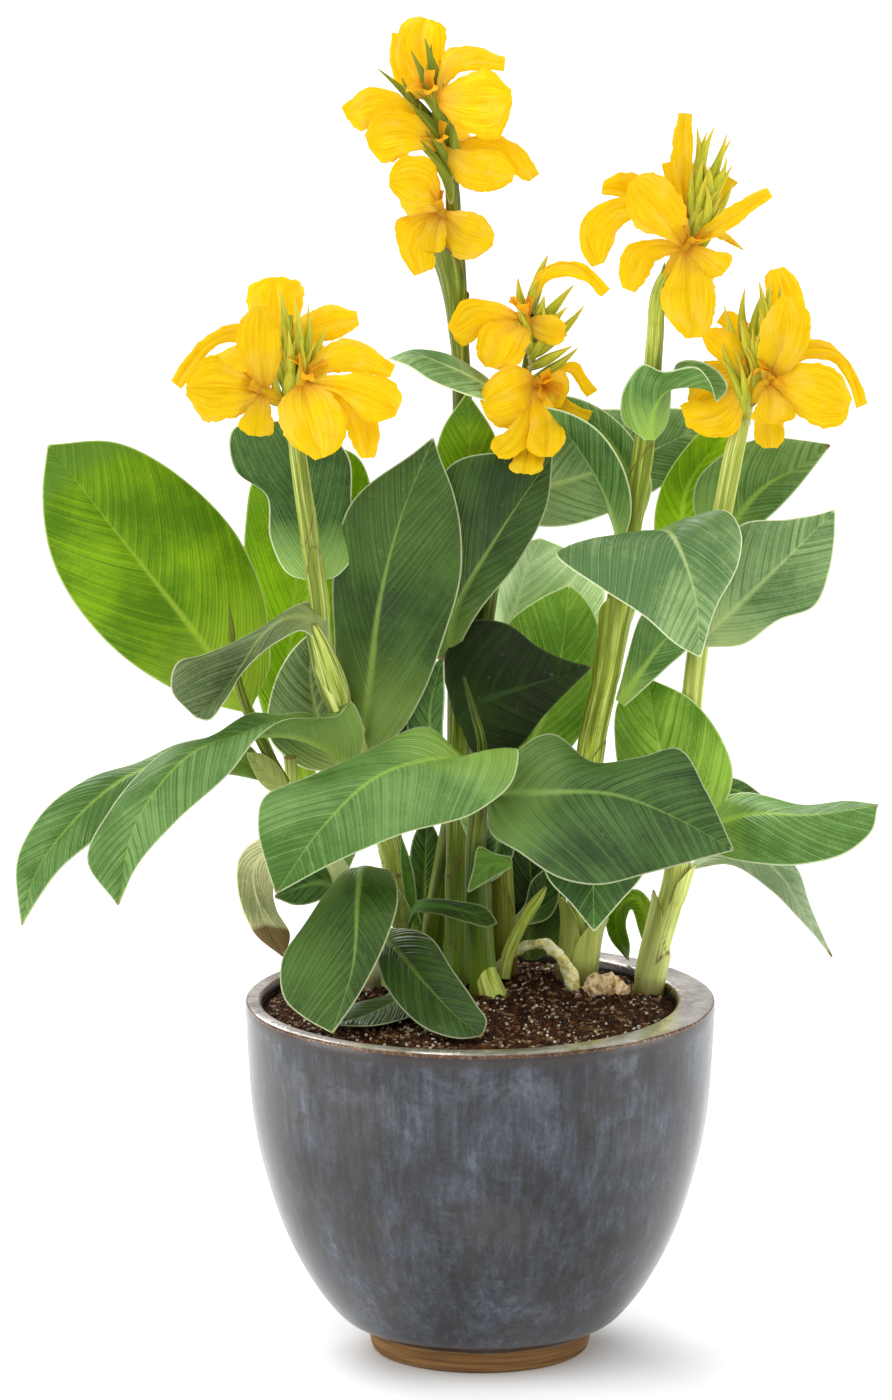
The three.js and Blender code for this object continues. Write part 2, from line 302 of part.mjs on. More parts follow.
// Flowers: name, the foot of the tube on its stem, the throat, then the petals, each with its
// rib past the throat, its left margin and its right margin
const FLOWERS = [
  ['flower_left_front', [-190, 940, -30], [-216, 953, -48], [
    [[[-220, 1000, -62], [-220, 1039, -55]],
      [[-234, 975, -60], [-244, 1000, -66], [-238, 1027, -62]],
      [[-202, 975, -56], [-199, 995, -58], [-204, 1026, -58]]],
    [[[-260, 957, -75], [-294, 957, -85]],
      [[-242, 929, -72], [-276, 925, -85]],
      [[-240, 973, -62], [-272, 990, -72]]],
    [[[-222, 927, -75], [-225, 909, -80]],
      [[-208, 930, -70], [-208, 911, -76]],
      [[-234, 933, -74], [-242, 919, -80]]],
    [[[-243, 1012, -35], [-272, 1000, -45], [-304, 960, -50]],
      [[-236, 1000, -38], [-257, 1002, -42], [-284, 976, -52]],
      [[-240, 1022, -32], [-264, 1015, -36], [-294, 988, -48]]],
    [[[-225, 985, 0], [-250, 975, 25], [-270, 950, 40]],
      [[-228, 955, 5], [-250, 940, 30]],
      [[-235, 1000, 5], [-268, 985, 32]]]]],
  ['flower_left_right', [-188, 935, -30], [-178, 963, -45], [
    [[[-168, 925, -78], [-158, 887, -85]],
      [[-150, 952, -68], [-133, 922, -82], [-141, 896, -86]],
      [[-202, 939, -66], [-190, 902, -82]]],
    [[[-125, 953, -65], [-82, 935, -70]],
      [[-135, 971, -58], [-95, 968, -60], [-78, 950, -66]],
      [[-144, 952, -68], [-104, 922, -80]]],
    [[[-134, 945, -48], [-114, 915, -50], [-112, 887, -54]],
      [[-110, 936, -48], [-100, 910, -52]],
      [[-136, 925, -50], [-128, 900, -56]]],
    [[[-130, 992, -44], [-87, 974, -48]],
      [[-152, 1001, -34], [-126, 1006, -38], [-100, 991, -44]],
      [[-150, 972, -44], [-112, 970, -52]]]]],
  ['flower_left_top', [-190, 965, -29], [-192, 992, -20], [
    [[[-155, 1020, -16], [-122, 1027, -18]],
      [[-176, 1030, -10], [-148, 1040, -12]],
      [[-160, 1002, -20], [-134, 1010, -22]]],
    [[[-205, 1040, 5], [-205, 1068, 8]],
      [[-232, 1036, 5], [-230, 1060, 8]],
      [[-178, 1036, 5], [-178, 1062, 8]]],
    [[[-180, 1005, 25], [-165, 1000, 55]],
      [[-205, 1010, 28], [-192, 1010, 55]],
      [[-155, 985, 22], [-140, 985, 48]]]]],
  ['flower_tall_low', [-26, 1105, 85], [-38, 1132, 66], [
    [[[-65, 1165, 42], [-91, 1165, 32]],
      [[-48, 1140, 44], [-74, 1138, 34]],
      [[-50, 1186, 50], [-79, 1188, 38]]],
    [[[-60, 1112, 48], [-68, 1095, 42], [-60, 1071, 38]],
      [[-48, 1105, 46], [-46, 1078, 40]],
      [[-84, 1122, 48], [-80, 1092, 38]]],
    [[[-44, 1112, 46], [-46, 1093, 40]],
      [[-34, 1113, 46], [-35, 1098, 40]],
      [[-56, 1118, 46], [-58, 1101, 40]]],
    [[[-10, 1110, 48], [14, 1105, 42]],
      [[-28, 1134, 54], [0, 1131, 44]],
      [[-28, 1088, 52], [-2, 1088, 42]]],
    [[[-60, 1155, 105], [-80, 1145, 135]],
      [[-45, 1130, 100], [-65, 1120, 128]],
      [[-62, 1178, 112], [-85, 1170, 138]]]]],
  ['flower_tall_middle', [-28, 1165, 85], [-38, 1196, 68], [
    [[[5, 1178, 52], [34, 1169, 45]],
      [[-10, 1194, 60], [18, 1194, 50]],
      [[-17, 1158, 58], [20, 1156, 46]]],
    [[[-10, 1208, 82], [25, 1204, 82], [54, 1167, 75]],
      [[18, 1210, 86], [46, 1193, 80]],
      [[14, 1192, 80], [38, 1168, 74]]],
    [[[-105, 1247, 58], [-136, 1232, 54]],
      [[-88, 1222, 56], [-124, 1216, 52]],
      [[-80, 1250, 66], [-110, 1258, 60]]],
    [[[-82, 1212, 45], [-113, 1203, 38]],
      [[-66, 1194, 48], [-97, 1182, 38]],
      [[-70, 1232, 52], [-103, 1236, 44]]],
    [[[-15, 1212, 120], [0, 1195, 145]],
      [[-38, 1225, 122], [-20, 1215, 145]],
      [[0, 1190, 110], [16, 1178, 132]]]]],
  ['flower_tall_top', [-31, 1215, 85], [-46, 1246, 70], [
    [[[-56, 1276, 106], [-62, 1305, 112], [-54, 1327, 106]],
      [[-76, 1274, 106], [-84, 1306, 112], [-72, 1326, 106]],
      [[-38, 1275, 104], [-34, 1304, 108], [-38, 1322, 104]]],
    [[[-70, 1256, 88], [-84, 1276, 92], [-82, 1312, 96]],
      [[-78, 1252, 86], [-90, 1282, 92]],
      [[-66, 1266, 90], [-76, 1290, 96]]],
    [[[-5, 1284, 78], [25, 1281, 76]],
      [[-28, 1298, 82], [0, 1297, 80]],
      [[-20, 1272, 76], [5, 1275, 74]]],
    [[[0, 1245, 48], [32, 1248, 42]],
      [[-22, 1266, 56], [8, 1276, 46]],
      [[-18, 1215, 52], [18, 1207, 42]]],
    [[[-55, 1268, 105], [-68, 1285, 125]],
      [[-70, 1252, 102], [-84, 1270, 120]],
      [[-38, 1272, 108], [-50, 1296, 128]]]]],
  ['flower_middle_top', [50, 998, 88], [46, 1024, 76], [
    [[[54, 1062, 78], [80, 1084, 74], [108, 1073, 68], [126, 1052, 62]],
      [[58, 1072, 76], [102, 1082, 66]],
      [[72, 1066, 76], [104, 1064, 66]]],
    [[[-5, 1030, 58], [-29, 1013, 52]],
      [[2, 1010, 60], [-21, 1000, 52]],
      [[12, 1044, 62], [-18, 1044, 54]]],
    [[[22, 1008, 52], [12, 977, 46]],
      [[50, 1010, 62], [40, 983, 48]],
      [[4, 1020, 52], [-3, 988, 44]]],
    [[[70, 1016, 64], [85, 1013, 60]],
      [[62, 1030, 68], [80, 1027, 62]],
      [[65, 1001, 66], [80, 1001, 60]]],
    [[[46, 1030, 115], [40, 1015, 145]],
      [[22, 1030, 112], [18, 1018, 138]],
      [[68, 1020, 110], [62, 1008, 138]]]]],
  ['flower_middle_low', [46, 965, 88], [56, 962, 74], [
    [[[76, 958, 66], [74, 938, 60]],
      [[84, 974, 68], [89, 952, 62]],
      [[64, 946, 64], [62, 938, 60]]],
    [[[95, 976, 82], [112, 951, 80]],
      [[98, 982, 83], [108, 967, 81]],
      [[86, 974, 82], [101, 956, 80]]],
    [[[85, 940, 70], [110, 928, 66]],
      [[90, 944, 70], [104, 936, 67]],
      [[78, 934, 70], [96, 926, 66]]],
    [[[30, 950, 40], [2, 938, 32]],
      [[46, 925, 50], [18, 917, 34]],
      [[44, 978, 56], [20, 976, 42], [4, 958, 34]]],
    [[[68, 915, 28], [66, 888, 8]],
      [[78, 928, 34], [85, 902, 10]],
      [[50, 920, 30], [50, 893, 8]]],
    [[[32, 907, 20], [14, 892, 4]],
      [[44, 896, 18], [28, 886, 4]],
      [[26, 914, 22], [12, 904, 8]]],
    [[[48, 897, 32], [44, 871, 2]],
      [[64, 886, 20], [60, 873, 2]],
      [[34, 890, 20], [31, 874, 2]]]]],
  ['flower_right_open', [183, 1064, 39], [206, 1098, 16], [
    [[[180, 1130, -12], [153, 1165, -20]],
      [[186, 1106, -8], [152, 1122, -22], [146, 1147, -24]],
      [[206, 1135, -2], [190, 1162, -14], [168, 1173, -20]]],
    [[[160, 1150, 34], [122, 1157, 30]],
      [[172, 1135, 28], [146, 1147, 26]],
      [[166, 1168, 36], [138, 1172, 32]]],
    [[[165, 1138, 14], [125, 1134, 8], [108, 1108, 2], [118, 1080, -2]],
      [[170, 1124, 14], [144, 1122, 12], [130, 1095, 2]],
      [[170, 1150, 16], [136, 1147, 10], [104, 1128, 4], [101, 1095, -2]]],
    [[[165, 1097, 2], [148, 1055, -5]],
      [[176, 1083, 5], [164, 1062, -3]],
      [[176, 1106, 6], [145, 1097, 0], [139, 1070, -5]]],
    [[[208, 1050, -15], [213, 1007, -22]],
      [[232, 1068, -8], [235, 1035, -18], [226, 1012, -22]],
      [[192, 1075, -8], [180, 1045, -18], [198, 1014, -24]]],
    [[[232, 1086, -4], [246, 1074, -10]],
      [[238, 1094, -2], [252, 1088, -8]],
      [[220, 1078, -4], [232, 1066, -10]]],
    [[[258, 1130, 4], [290, 1153, 0]],
      [[246, 1136, 8], [272, 1151, 4]],
      [[254, 1118, 0], [280, 1139, -4]]]]],
  ['flower_right_top', [192, 1082, 37], [206, 1122, 34], [
    [[[203, 1185, 22], [205, 1232, 20]],
      [[191, 1160, 24], [192, 1200, 22]],
      [[212, 1160, 22], [213, 1198, 20]]],
    [[[194, 1155, 12], [188, 1183, 10]],
      [[186, 1145, 12], [185, 1168, 10]],
      [[202, 1150, 12], [198, 1172, 10]]],
    [[[242, 1148, 48], [253, 1166, 50]],
      [[230, 1146, 50], [244, 1164, 52]],
      [[240, 1138, 46], [252, 1156, 48]]],
    [[[225, 1120, 85], [240, 1105, 115]],
      [[200, 1125, 88], [215, 1115, 118]],
      [[248, 1108, 78], [262, 1095, 105]]]]],
  ['flower_far_right_open', [264, 935, 28], [286, 962, 6], [
    [[[305, 1010, -15], [308, 1049, -18]],
      [[278, 992, -10], [288, 1034, -16]],
      [[320, 985, -14], [330, 1030, -18]]],
    [[[335, 954, -22], [370, 940, -32]],
      [[325, 982, -10], [358, 974, -26]],
      [[312, 935, -16], [345, 917, -30], [366, 925, -34]]],
    [[[292, 940, -20], [290, 921, -28]],
      [[308, 945, -18], [315, 927, -26]],
      [[280, 943, -18], [270, 927, -26]]],
    [[[288, 925, -4], [290, 897, -8]],
      [[304, 922, -4], [303, 904, -8]],
      [[274, 920, -4], [276, 903, -8]]],
    [[[318, 996, 22], [358, 992, 18], [382, 939, 10]],
      [[314, 1005, 22], [347, 1003, 22], [376, 972, 14]],
      [[322, 984, 18], [350, 984, 16], [370, 958, 10]]]]],
  ['flower_far_right_left', [262, 925, 28], [270, 962, 14], [
    [[[242, 957, 30], [212, 940, 40]],
      [[256, 940, 22], [228, 922, 34]],
      [[254, 980, 28], [226, 984, 40], [209, 964, 44]]],
    [[[232, 930, 18], [205, 925, 24]],
      [[248, 908, 16], [218, 912, 22]],
      [[228, 946, 22], [200, 938, 28]]],
    [[[248, 995, 14], [225, 1012, 18]],
      [[244, 978, 16], [228, 996, 18]],
      [[262, 1003, 16], [240, 1018, 18]]]]],
  ['flower_far_right_top', [274, 968, 26], [284, 1006, 38], [
    [[[305, 1050, 42], [298, 1077, 44]],
      [[286, 1048, 42], [286, 1070, 44]],
      [[325, 1038, 42], [318, 1063, 44]]],
    [[[255, 1018, 50], [240, 1028, 54]],
      [[258, 1006, 50], [244, 1016, 54]],
      [[266, 1024, 50], [252, 1034, 54]]],
    [[[300, 995, 85], [310, 980, 112]],
      [[276, 1000, 88], [288, 990, 115]],
      [[318, 982, 80], [330, 970, 104]]]]],
];

// ---- Solids ----

function toSolid(geometry, tolerance) {
  geometry.deleteAttribute('normal');
  geometry.deleteAttribute('uv');
  const merged = mergeVertices(geometry, tolerance);
  const corners = [...merged.index.array];
  const whole = [];
  for (let i = 0; i < corners.length; i += 3) {
    const [a, b, c] = corners.slice(i, i + 3);
    if (a !== b && b !== c && c !== a) whole.push(a, b, c);
  }
  const mesh = new wasm.Mesh({
    numProp: 3,
    vertProperties: new Float32Array(merged.attributes.position.array),
    triVerts: new Uint32Array(whole),
  });
  return new wasm.Manifold(mesh);
}

function toGeometry(solid) {
  const mesh = solid.getMesh();
  const geometry = new THREE.BufferGeometry();
  geometry.setAttribute('position', new THREE.BufferAttribute(mesh.vertProperties.slice(), 3));
  geometry.setIndex(new THREE.BufferAttribute(mesh.triVerts.slice(), 1));
  return geometry;
}

function fromGrid(points, triangles) {
  const geometry = new THREE.BufferGeometry().setFromPoints(points);
  geometry.setIndex(triangles);
  return toSolid(geometry);
}

function largest(solid) {
  return solid.decompose().sort((a, b) => b.volume() - a.volume())[0];
}

// A round stem, bud or rhizome: rings across a curve, closed at both ends
function tube(centres, radii, sides, grow = 0) {
  const path = curve(centres);
  const points = [];
  const triangles = [];
  const rings = radii.length;
  for (let ring = 0; ring < rings; ring++) {
    const t = ring / (rings - 1);
    const along = path.getTangent(t);
    const side = new THREE.Vector3(0, 1, 0).projectOnPlane(along).normalize();
    const other = new THREE.Vector3().crossVectors(along, side);
    const radius = radii[ring] + grow;
    for (let k = 0; k < sides; k++) {
      const turn = 2 * Math.PI * k / sides;
      points.push(path.getPoint(t)
        .addScaledVector(side, radius * Math.cos(turn))
        .addScaledVector(other, radius * Math.sin(turn)));
    }
  }
  for (let ring = 0; ring < rings - 1; ring++) {
    for (let k = 0; k < sides; k++) {
      const a = ring * sides + k;
      const b = ring * sides + (k + 1) % sides;
      triangles.push(a, b, a + sides, b, b + sides, a + sides);
    }
  }
  const top = (rings - 1) * sides;
  for (let k = 1; k < sides - 1; k++) {
    triangles.push(0, k + 1, k, top, top + k, top + k + 1);
  }
  return fromGrid(points, triangles);
}

// A leaf or petal: a sheet between its two margins, arched on each side of the rib, with the
// same triangles on its upper and under faces
function blade(start, rib, left, right, form, grow = 0) {
  const spine = curve(rib);
  const foot = spine.getPointAt(start);
  const footAlong = spine.getTangentAt(start);
  const side = right[0].clone().sub(foot).projectOnPlane(footAlong).normalize()
    .sub(left[0].clone().sub(foot).projectOnPlane(footAlong).normalize()).normalize();
  const tip = spine.getPointAt(1);
  const tipSide = right.at(-1).clone().sub(left.at(-1))
    .projectOnPlane(spine.getTangentAt(1)).normalize();
  const margin = (points, reach) => curve([
    foot.clone().addScaledVector(side, reach * form.foot), ...points,
    tip.clone().addScaledVector(tipSide, reach * form.tip)]);
  const leftEdge = margin(left, -1);
  const rightEdge = margin(right, 1);
  const bladeRows = Math.max(left.length, right.length) + 1;
  const stalkRows = start > 0 ? 1 : 0;
  const middle = [];
  for (let row = -stalkRows; row <= bladeRows; row++) {
    const v = Math.max(row, 0) / bladeRows;
    const u = row < 0 ? start * (1 + row / stalkRows) : start + (1 - start) * v;
    const centre = spine.getPointAt(u);
    const along = spine.getTangentAt(u);
    let toLeft = leftEdge.getPointAt(v).sub(centre);
    let toRight = rightEdge.getPointAt(v).sub(centre);
    if (row < 0) {
      toRight = side.clone().projectOnPlane(along).setLength(form.foot);
      toLeft = toRight.clone().negate();
    }
    const up = new THREE.Vector3().crossVectors(toRight.clone().sub(toLeft), along).normalize();
    const line = [];
    for (let k = -form.sides; k <= form.sides; k++) {
      const reach = k < 0 ? toLeft : toRight;
      const share = Math.abs(k) / form.sides;
      line.push(centre.clone()
        .addScaledVector(reach, share + (share === 1 ? grow / reach.length() : 0))
        .addScaledVector(up, form.arch * reach.length() * 4 * share * (1 - share)));
    }
    middle.push(line);
  }
  const rows = middle.length;
  const columns = middle[0].length;
  const upper = [];
  const under = [];
  for (let r = 0; r < rows; r++) {
    for (let c = 0; c < columns; c++) {
      const down = middle[Math.max(r - 1, 0)][c];
      const on = middle[Math.min(r + 1, rows - 1)][c];
      const normal = new THREE.Vector3()
        .crossVectors(
          middle[r][Math.min(c + 1, columns - 1)].clone().sub(middle[r][Math.max(c - 1, 0)]),
          on.clone().sub(down))
        .normalize();
      const keel = c === form.sides ? form.keel * (1 - r / (rows - 1)) : 0;
      upper.push(middle[r][c].clone().addScaledVector(normal, form.thick / 2 + grow));
      under.push(middle[r][c].clone().addScaledVector(normal, -form.thick / 2 - grow - keel));
    }
  }
  const count = rows * columns;
  const triangles = [];
  const quad = (a, b, c, d) => triangles.push(a, b, c, a, c, d);
  for (let r = 0; r < rows - 1; r++) {
    for (let c = 0; c < columns - 1; c++) {
      const a = r * columns + c;
      const b = a + columns;
      quad(a, a + 1, b + 1, b);
      triangles.push(count + a, count + b + 1, count + a + 1, count + a, count + b, count + b + 1);
    }
    const a = r * columns;
    const z = a + columns - 1;
    quad(a, a + columns, count + a + columns, count + a);
    quad(z, count + z, count + z + columns, z + columns);
  }
  const last = (rows - 1) * columns;
  for (let c = 0; c < columns - 1; c++) {
    quad(c, count + c, count + c + 1, c + 1);
    quad(last + c, last + c + 1, count + last + c + 1, count + last + c);
  }
  return fromGrid([...upper, ...under], triangles);
}

const leafSolid = ([start, rib, left, right], grow) =>
  blade(start, rib.map(place), left.map(place), right.map(place), LEAF, grow);

// A flowering stem: the stem and its buds, each rooted where the stem passes below its tip
function stemSolid([name, stations, budTips], grow) {
  const centres = stations.map(place);
  const sunk = centres[0].clone().setZ(centres[0].z - ROOT_DEPTH);
  const radii = stations.map(station => station[3]);
  let solid = tube([sunk, ...centres], [radii[0], ...radii], STEM_SIDES, grow);
  const path = curve(centres).getSpacedPoints(STEM_SAMPLES);
  for (const tip of budTips.map(place)) {
    const wanted = tip.clone().setZ(tip.z - BUD_LENGTH);
    const root = path.reduce((best, p) => (p.distanceTo(wanted) < best.distanceTo(wanted) ? p : best));
    solid = solid.add(tube([root, tip], BUD_RADII, BUD_SIDES, grow));
  }
  for (const [stem, ...leaf] of STEM_LEAVES) {
    if (stem === name) solid = solid.add(leafSolid(leaf, grow));
  }
  return solid;
}

function flowerSolid([, footPlace, throatPlace, petals], grow) {
  const foot = place(footPlace);
  const throat = place(throatPlace);
  const beyond = throat.clone().add(throat.clone().sub(foot).setLength(TUBE_RADII[2]));
  let solid = tube([foot, beyond], TUBE_RADII, TUBE_SIDES, grow);
  for (const [rib, left, right] of petals) {
    solid = solid.add(blade(0, [throat, ...rib.map(place)], left.map(place), right.map(place), PETAL, grow));
  }
  return solid;
}

// ---- Pot and soil ----

const lathe = profile =>
  toSolid(new THREE.LatheGeometry(profile.map(([r, z]) => new THREE.Vector2(r, z)), POT_SIDES)
    .rotateX(Math.PI / 2));

// The outside of the pot as [radius, height]: foot ring, bowl and the thick flat rim
const POT_OUTSIDE = [
  [0, 0], [FOOT_RADIUS, 0], [113, FOOT_HEIGHT], [134, 33], [156, 56], [177, 88], [195, 125],
  [213, 180], [227, 250], [RIM_RADIUS + 1, 342], [RIM_RADIUS, RIM_HEIGHT], [0, RIM_HEIGHT]];

function potSolid() {
  let pot = lathe(POT_OUTSIDE).subtract(inside(0));
  for (let k = 0; k < DRAIN_COUNT; k++) {
    const drain = new THREE.CylinderGeometry(DRAIN_RADIUS, DRAIN_RADIUS, 4 * FLOOR_HEIGHT, 10)
      .rotateX(Math.PI / 2)
      .translate(DRAIN_REACH, 0, 0)
      .rotateZ(2 * Math.PI * k / DRAIN_COUNT);
    pot = pot.subtract(toSolid(drain));
  }
  return pot;
}

// The room inside the pot, also the shape of the soil that fills it, which is inset by a gap
function inside(inset) {
  const top = RIM_HEIGHT + 40;
  const floor = FLOOR_HEIGHT + inset;
  return lathe([
    [0, floor], [100 - inset, floor + 2], [158 - inset, 85], [195 - inset, 200],
    [MOUTH_RADIUS - inset, 330], [MOUTH_RADIUS - inset, top], [0, top]])
    .translate(MOUTH_SHIFT, 0, 0);
}

// Height of the ground: the mound is a little higher at the back than at the front
function groundHeight(x, y) {
  const out = Math.min(Math.hypot(x - MOUTH_SHIFT, y) / MOUTH_RADIUS, 1);
  const mound = SOIL_RISE * (1 - out * out) * (0.85 + 0.25 * y / MOUTH_RADIUS);
  const [long, short, cross] = LUMP_LENGTHS;
  return SOIL_EDGE + mound + LUMP_HEIGHT * Math.sin(x / long) * Math.cos(y / short + x / cross);
}

function soilSolid() {
  const steps = SOIL_STEPS;
  const reach = MOUTH_RADIUS + 6;
  const points = [];
  const triangles = [];
  for (let j = 0; j <= steps; j++) {
    for (let i = 0; i <= steps; i++) {
      const x = MOUTH_SHIFT + reach * (2 * i / steps - 1);
      const y = reach * (2 * j / steps - 1);
      points.push(new THREE.Vector3(x, y, groundHeight(x, y)));
    }
  }
  const across = steps + 1;
  for (let j = 0; j < steps; j++) {
    for (let i = 0; i < steps; i++) {
      const a = j * across + i;
      triangles.push(a, a + 1, a + across + 1, a, a + across + 1, a + across);
    }
  }
  const rim = [];
  for (let i = 0; i < steps; i++) rim.push(i);
  for (let j = 0; j < steps; j++) rim.push(j * across + steps);
  for (let i = steps; i > 0; i--) rim.push(steps * across + i);
  for (let j = steps; j > 0; j--) rim.push(j * across);
  const bed = points.length;
  for (const k of rim) points.push(points[k].clone().setZ(0));
  rim.forEach((k, n) => {
    const next = (n + 1) % rim.length;
    triangles.push(k, bed + n, bed + next, k, bed + next, rim[next]);
  });
  const centre = points.push(new THREE.Vector3(MOUTH_SHIFT, 0, 0)) - 1;
  rim.forEach((k, n) => triangles.push(centre, bed + (n + 1) % rim.length, bed + n));
  return fromGrid(points, triangles).intersect(inside(GAP));
}

// ---- The plant, put together: each piece gives way to those before it, with a gap ----

const group = new THREE.Group();
const standing = [];

const boxesMeet = (a, b) => [0, 1, 2].every(k => a.min[k] < b.max[k] && b.min[k] < a.max[k]);

function put(name, material, make) {
  let solid = make(0);
  for (const grown of standing) {
    if (boxesMeet(solid.boundingBox(), grown.boundingBox())) solid = solid.subtract(grown);
  }
  standing.push(make(GAP));
  const clean = toSolid(toGeometry(largest(solid)), SLIVER);
  const mesh = new THREE.Mesh(toGeometry(largest(clean)), material);
  mesh.name = name;
  group.add(mesh);
}

const finish = (color, roughness) => new THREE.MeshStandardMaterial({ color, roughness, metalness: 0 });

for (const stem of STEMS) put(stem[0], finish(0x8aa84b, 0.5), grow => stemSolid(stem, grow));

put('pot', finish(0x4a5560, 0.3), () => potSolid());

for (const [name, stations] of RHIZOMES) {
  put(name, finish(0xc2a46a, 0.8), grow =>
    tube(stations.map(place), stations.map(station => station[3]), STEM_SIDES, grow));
}

put('soil', finish(0x2e2018, 1), () => soilSolid());

for (const [name, ...leaf] of LEAVES) {
  put(name, finish(0x4f7a35, 0.45), grow => leafSolid(leaf, grow));
}

for (const flower of FLOWERS) put(flower[0], finish(0xffc400, 0.6), grow => flowerSolid(flower, grow));

export default group;
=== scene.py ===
import bpy
import math
import numpy as np
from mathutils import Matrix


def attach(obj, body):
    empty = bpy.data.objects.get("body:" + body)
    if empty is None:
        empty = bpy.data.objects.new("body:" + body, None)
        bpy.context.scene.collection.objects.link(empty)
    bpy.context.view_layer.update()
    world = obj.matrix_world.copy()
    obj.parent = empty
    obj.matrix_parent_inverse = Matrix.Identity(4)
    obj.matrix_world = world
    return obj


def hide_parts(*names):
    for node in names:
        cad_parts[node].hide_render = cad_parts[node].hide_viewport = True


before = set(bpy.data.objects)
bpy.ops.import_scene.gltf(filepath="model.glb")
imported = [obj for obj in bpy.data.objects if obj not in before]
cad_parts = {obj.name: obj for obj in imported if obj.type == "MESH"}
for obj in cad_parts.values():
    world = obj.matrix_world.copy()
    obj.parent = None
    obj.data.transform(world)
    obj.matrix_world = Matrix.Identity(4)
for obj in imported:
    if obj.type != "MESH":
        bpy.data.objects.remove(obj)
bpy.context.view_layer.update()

# ---- Pot ----
# A wheel-thrown stoneware planter with a thick flat rim, glazed inside and out and fired once.
# The slate-blue glaze ran down the wall in streaks, broke brown along the edge of the rim, and
# was wiped off the foot ring, which shows the bare tan clay.

# Radius and height of the wall from the middle of the base to the rim, then down the inside of the
# mouth, which stands a little to the left of the pot's axis
POT_SIDES = 144
POT_OUTSIDE = [
    (0.030, 0.000), (0.100, 0.000), (0.1065, 0.0015), (0.1085, 0.006), (0.1125, 0.021),
    (0.1165, 0.0250), (0.134, 0.033), (0.156, 0.056), (0.177, 0.088), (0.195, 0.125),
    (0.213, 0.180), (0.2215, 0.215), (0.227, 0.250), (0.2305, 0.295), (0.2329, 0.340),
    (0.2332, 0.3525), (0.2324, 0.3562), (0.2300, 0.3570)]
POT_INSIDE = [
    (0.2110, 0.3570), (0.2078, 0.3560), (0.2056, 0.3525), (0.2050, 0.340), (0.2030, 0.310)]
MOUTH_SHIFT = -0.011
MOUTH_RADIUS = 0.2055
RIM_HEIGHT = 0.357
# Heights in metres between which the glaze starts above the foot, pales, darkens, breaks brown and
# turns to lustre
GLAZE_EDGE = (0.0226, 0.0236)
PALE_BAND = (0.285, 0.335)
DARK_LIP = (0.342, 0.347)
BROWN_EDGE = (0.3535, 0.3550)
RIM_TOP = (0.3574, 0.3579)


def ring_points(radius, height, shift=0.0):
    """A level ring of points round the pot's axis, or shifted across from it."""
    turn = 2 * np.pi * np.arange(POT_SIDES) / POT_SIDES
    across = shift + radius * np.cos(turn)
    return np.stack([across, radius * np.sin(turn), np.full(POT_SIDES, height)], 1)


def grid_faces(rows, columns, closed=False):
    """Four-sided faces of a grid of points; closed joins the last column to the first."""
    r, c = np.meshgrid(np.arange(rows - 1), np.arange(columns if closed else columns - 1), indexing="ij")
    a = (r * columns + c).ravel()
    b = (r * columns + (c + 1) % columns).ravel()
    return np.stack([a, b, b + columns, a + columns], 1)


def make_piece(name, points, faces, material, sharp=60.0, **values):
    """A smooth-shaded mesh object; each extra value is stored on its points under its name."""
    mesh = bpy.data.meshes.new(name)
    spots = np.asarray(points, float).reshape(-1, 3).tolist()
    mesh.from_pydata(spots, [], [list(map(int, f)) for f in faces])
    for label, numbers in values.items():
        numbers = np.asarray(numbers, np.float32)
        single = numbers.ndim == 1
        layer = mesh.attributes.new(label, "FLOAT" if single else "FLOAT_VECTOR", "POINT")
        layer.data.foreach_set("value" if single else "vector", numbers.ravel())
    mesh.polygons.foreach_set("use_smooth", np.ones(len(mesh.polygons), bool))
    mesh.update()
    mesh.set_sharp_from_angle(angle=math.radians(sharp))
    mesh.materials.append(material)
    made = bpy.data.objects.new(name, mesh)
    bpy.context.scene.collection.objects.link(made)
    return made


def stands_for(made, slot, *nodes):
    """Puts a piece on the part in place of the solids named; the slot is not used."""
    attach(made, "root")
    if nodes:
        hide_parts(*nodes)


def colour(code):
    """An sRGB hex colour as linear RGBA."""
    parts = [int(code[k:k + 2], 16) / 255 for k in (1, 3, 5)]
    return tuple(c / 12.92 if c <= 0.04045 else ((c + 0.055) / 1.055) ** 2.4 for c in parts) + (1.0,)


def add(tree, kind, links=None, stops=None, **settings):
    """Adds a node; links go from a socket's name or number to a value, a node or one of its outputs."""
    made = tree.nodes.new("ShaderNode" + kind)
    for name, value in settings.items():
        setattr(made, name, value)
    for socket, value in (links or {}).items():
        if isinstance(value, bpy.types.Node):
            value = next(out for out in value.outputs if out.enabled)
        if isinstance(value, bpy.types.NodeSocket):
            tree.links.new(value, made.inputs[socket])
        else:
            made.inputs[socket].default_value = value
    if stops:
        marks = made.color_ramp.elements
        while len(marks) < len(stops):
            marks.new(0.5)
        for mark, (place_on_ramp, code) in zip(marks, stops):
            mark.position = place_on_ramp
            mark.color = colour(code)
    return made


def new_material(name):
    """An empty material, and its node tree."""
    made = bpy.data.materials.new(name)
    made.use_nodes = True
    made.node_tree.nodes.clear()
    return made, made.node_tree


def painted(tree, under, over, pattern, low, high, most=1.0):
    """A colour laid over another: none of it where the pattern is at low, the most of it at high."""
    amount = add(tree, "MapRange", {0: pattern, 1: low, 2: high, 4: most})
    over = colour(over) if isinstance(over, str) else over
    return add(tree, "Mix", {0: amount, 6: under, 7: over}, data_type="RGBA")


def summed(tree, *patterns):
    """Patterns added up, each given with its weight."""
    total = 0.0
    for pattern, weight in patterns:
        total = add(tree, "Math", {0: pattern, 1: weight, 2: total}, operation="MULTIPLY_ADD")
    return total


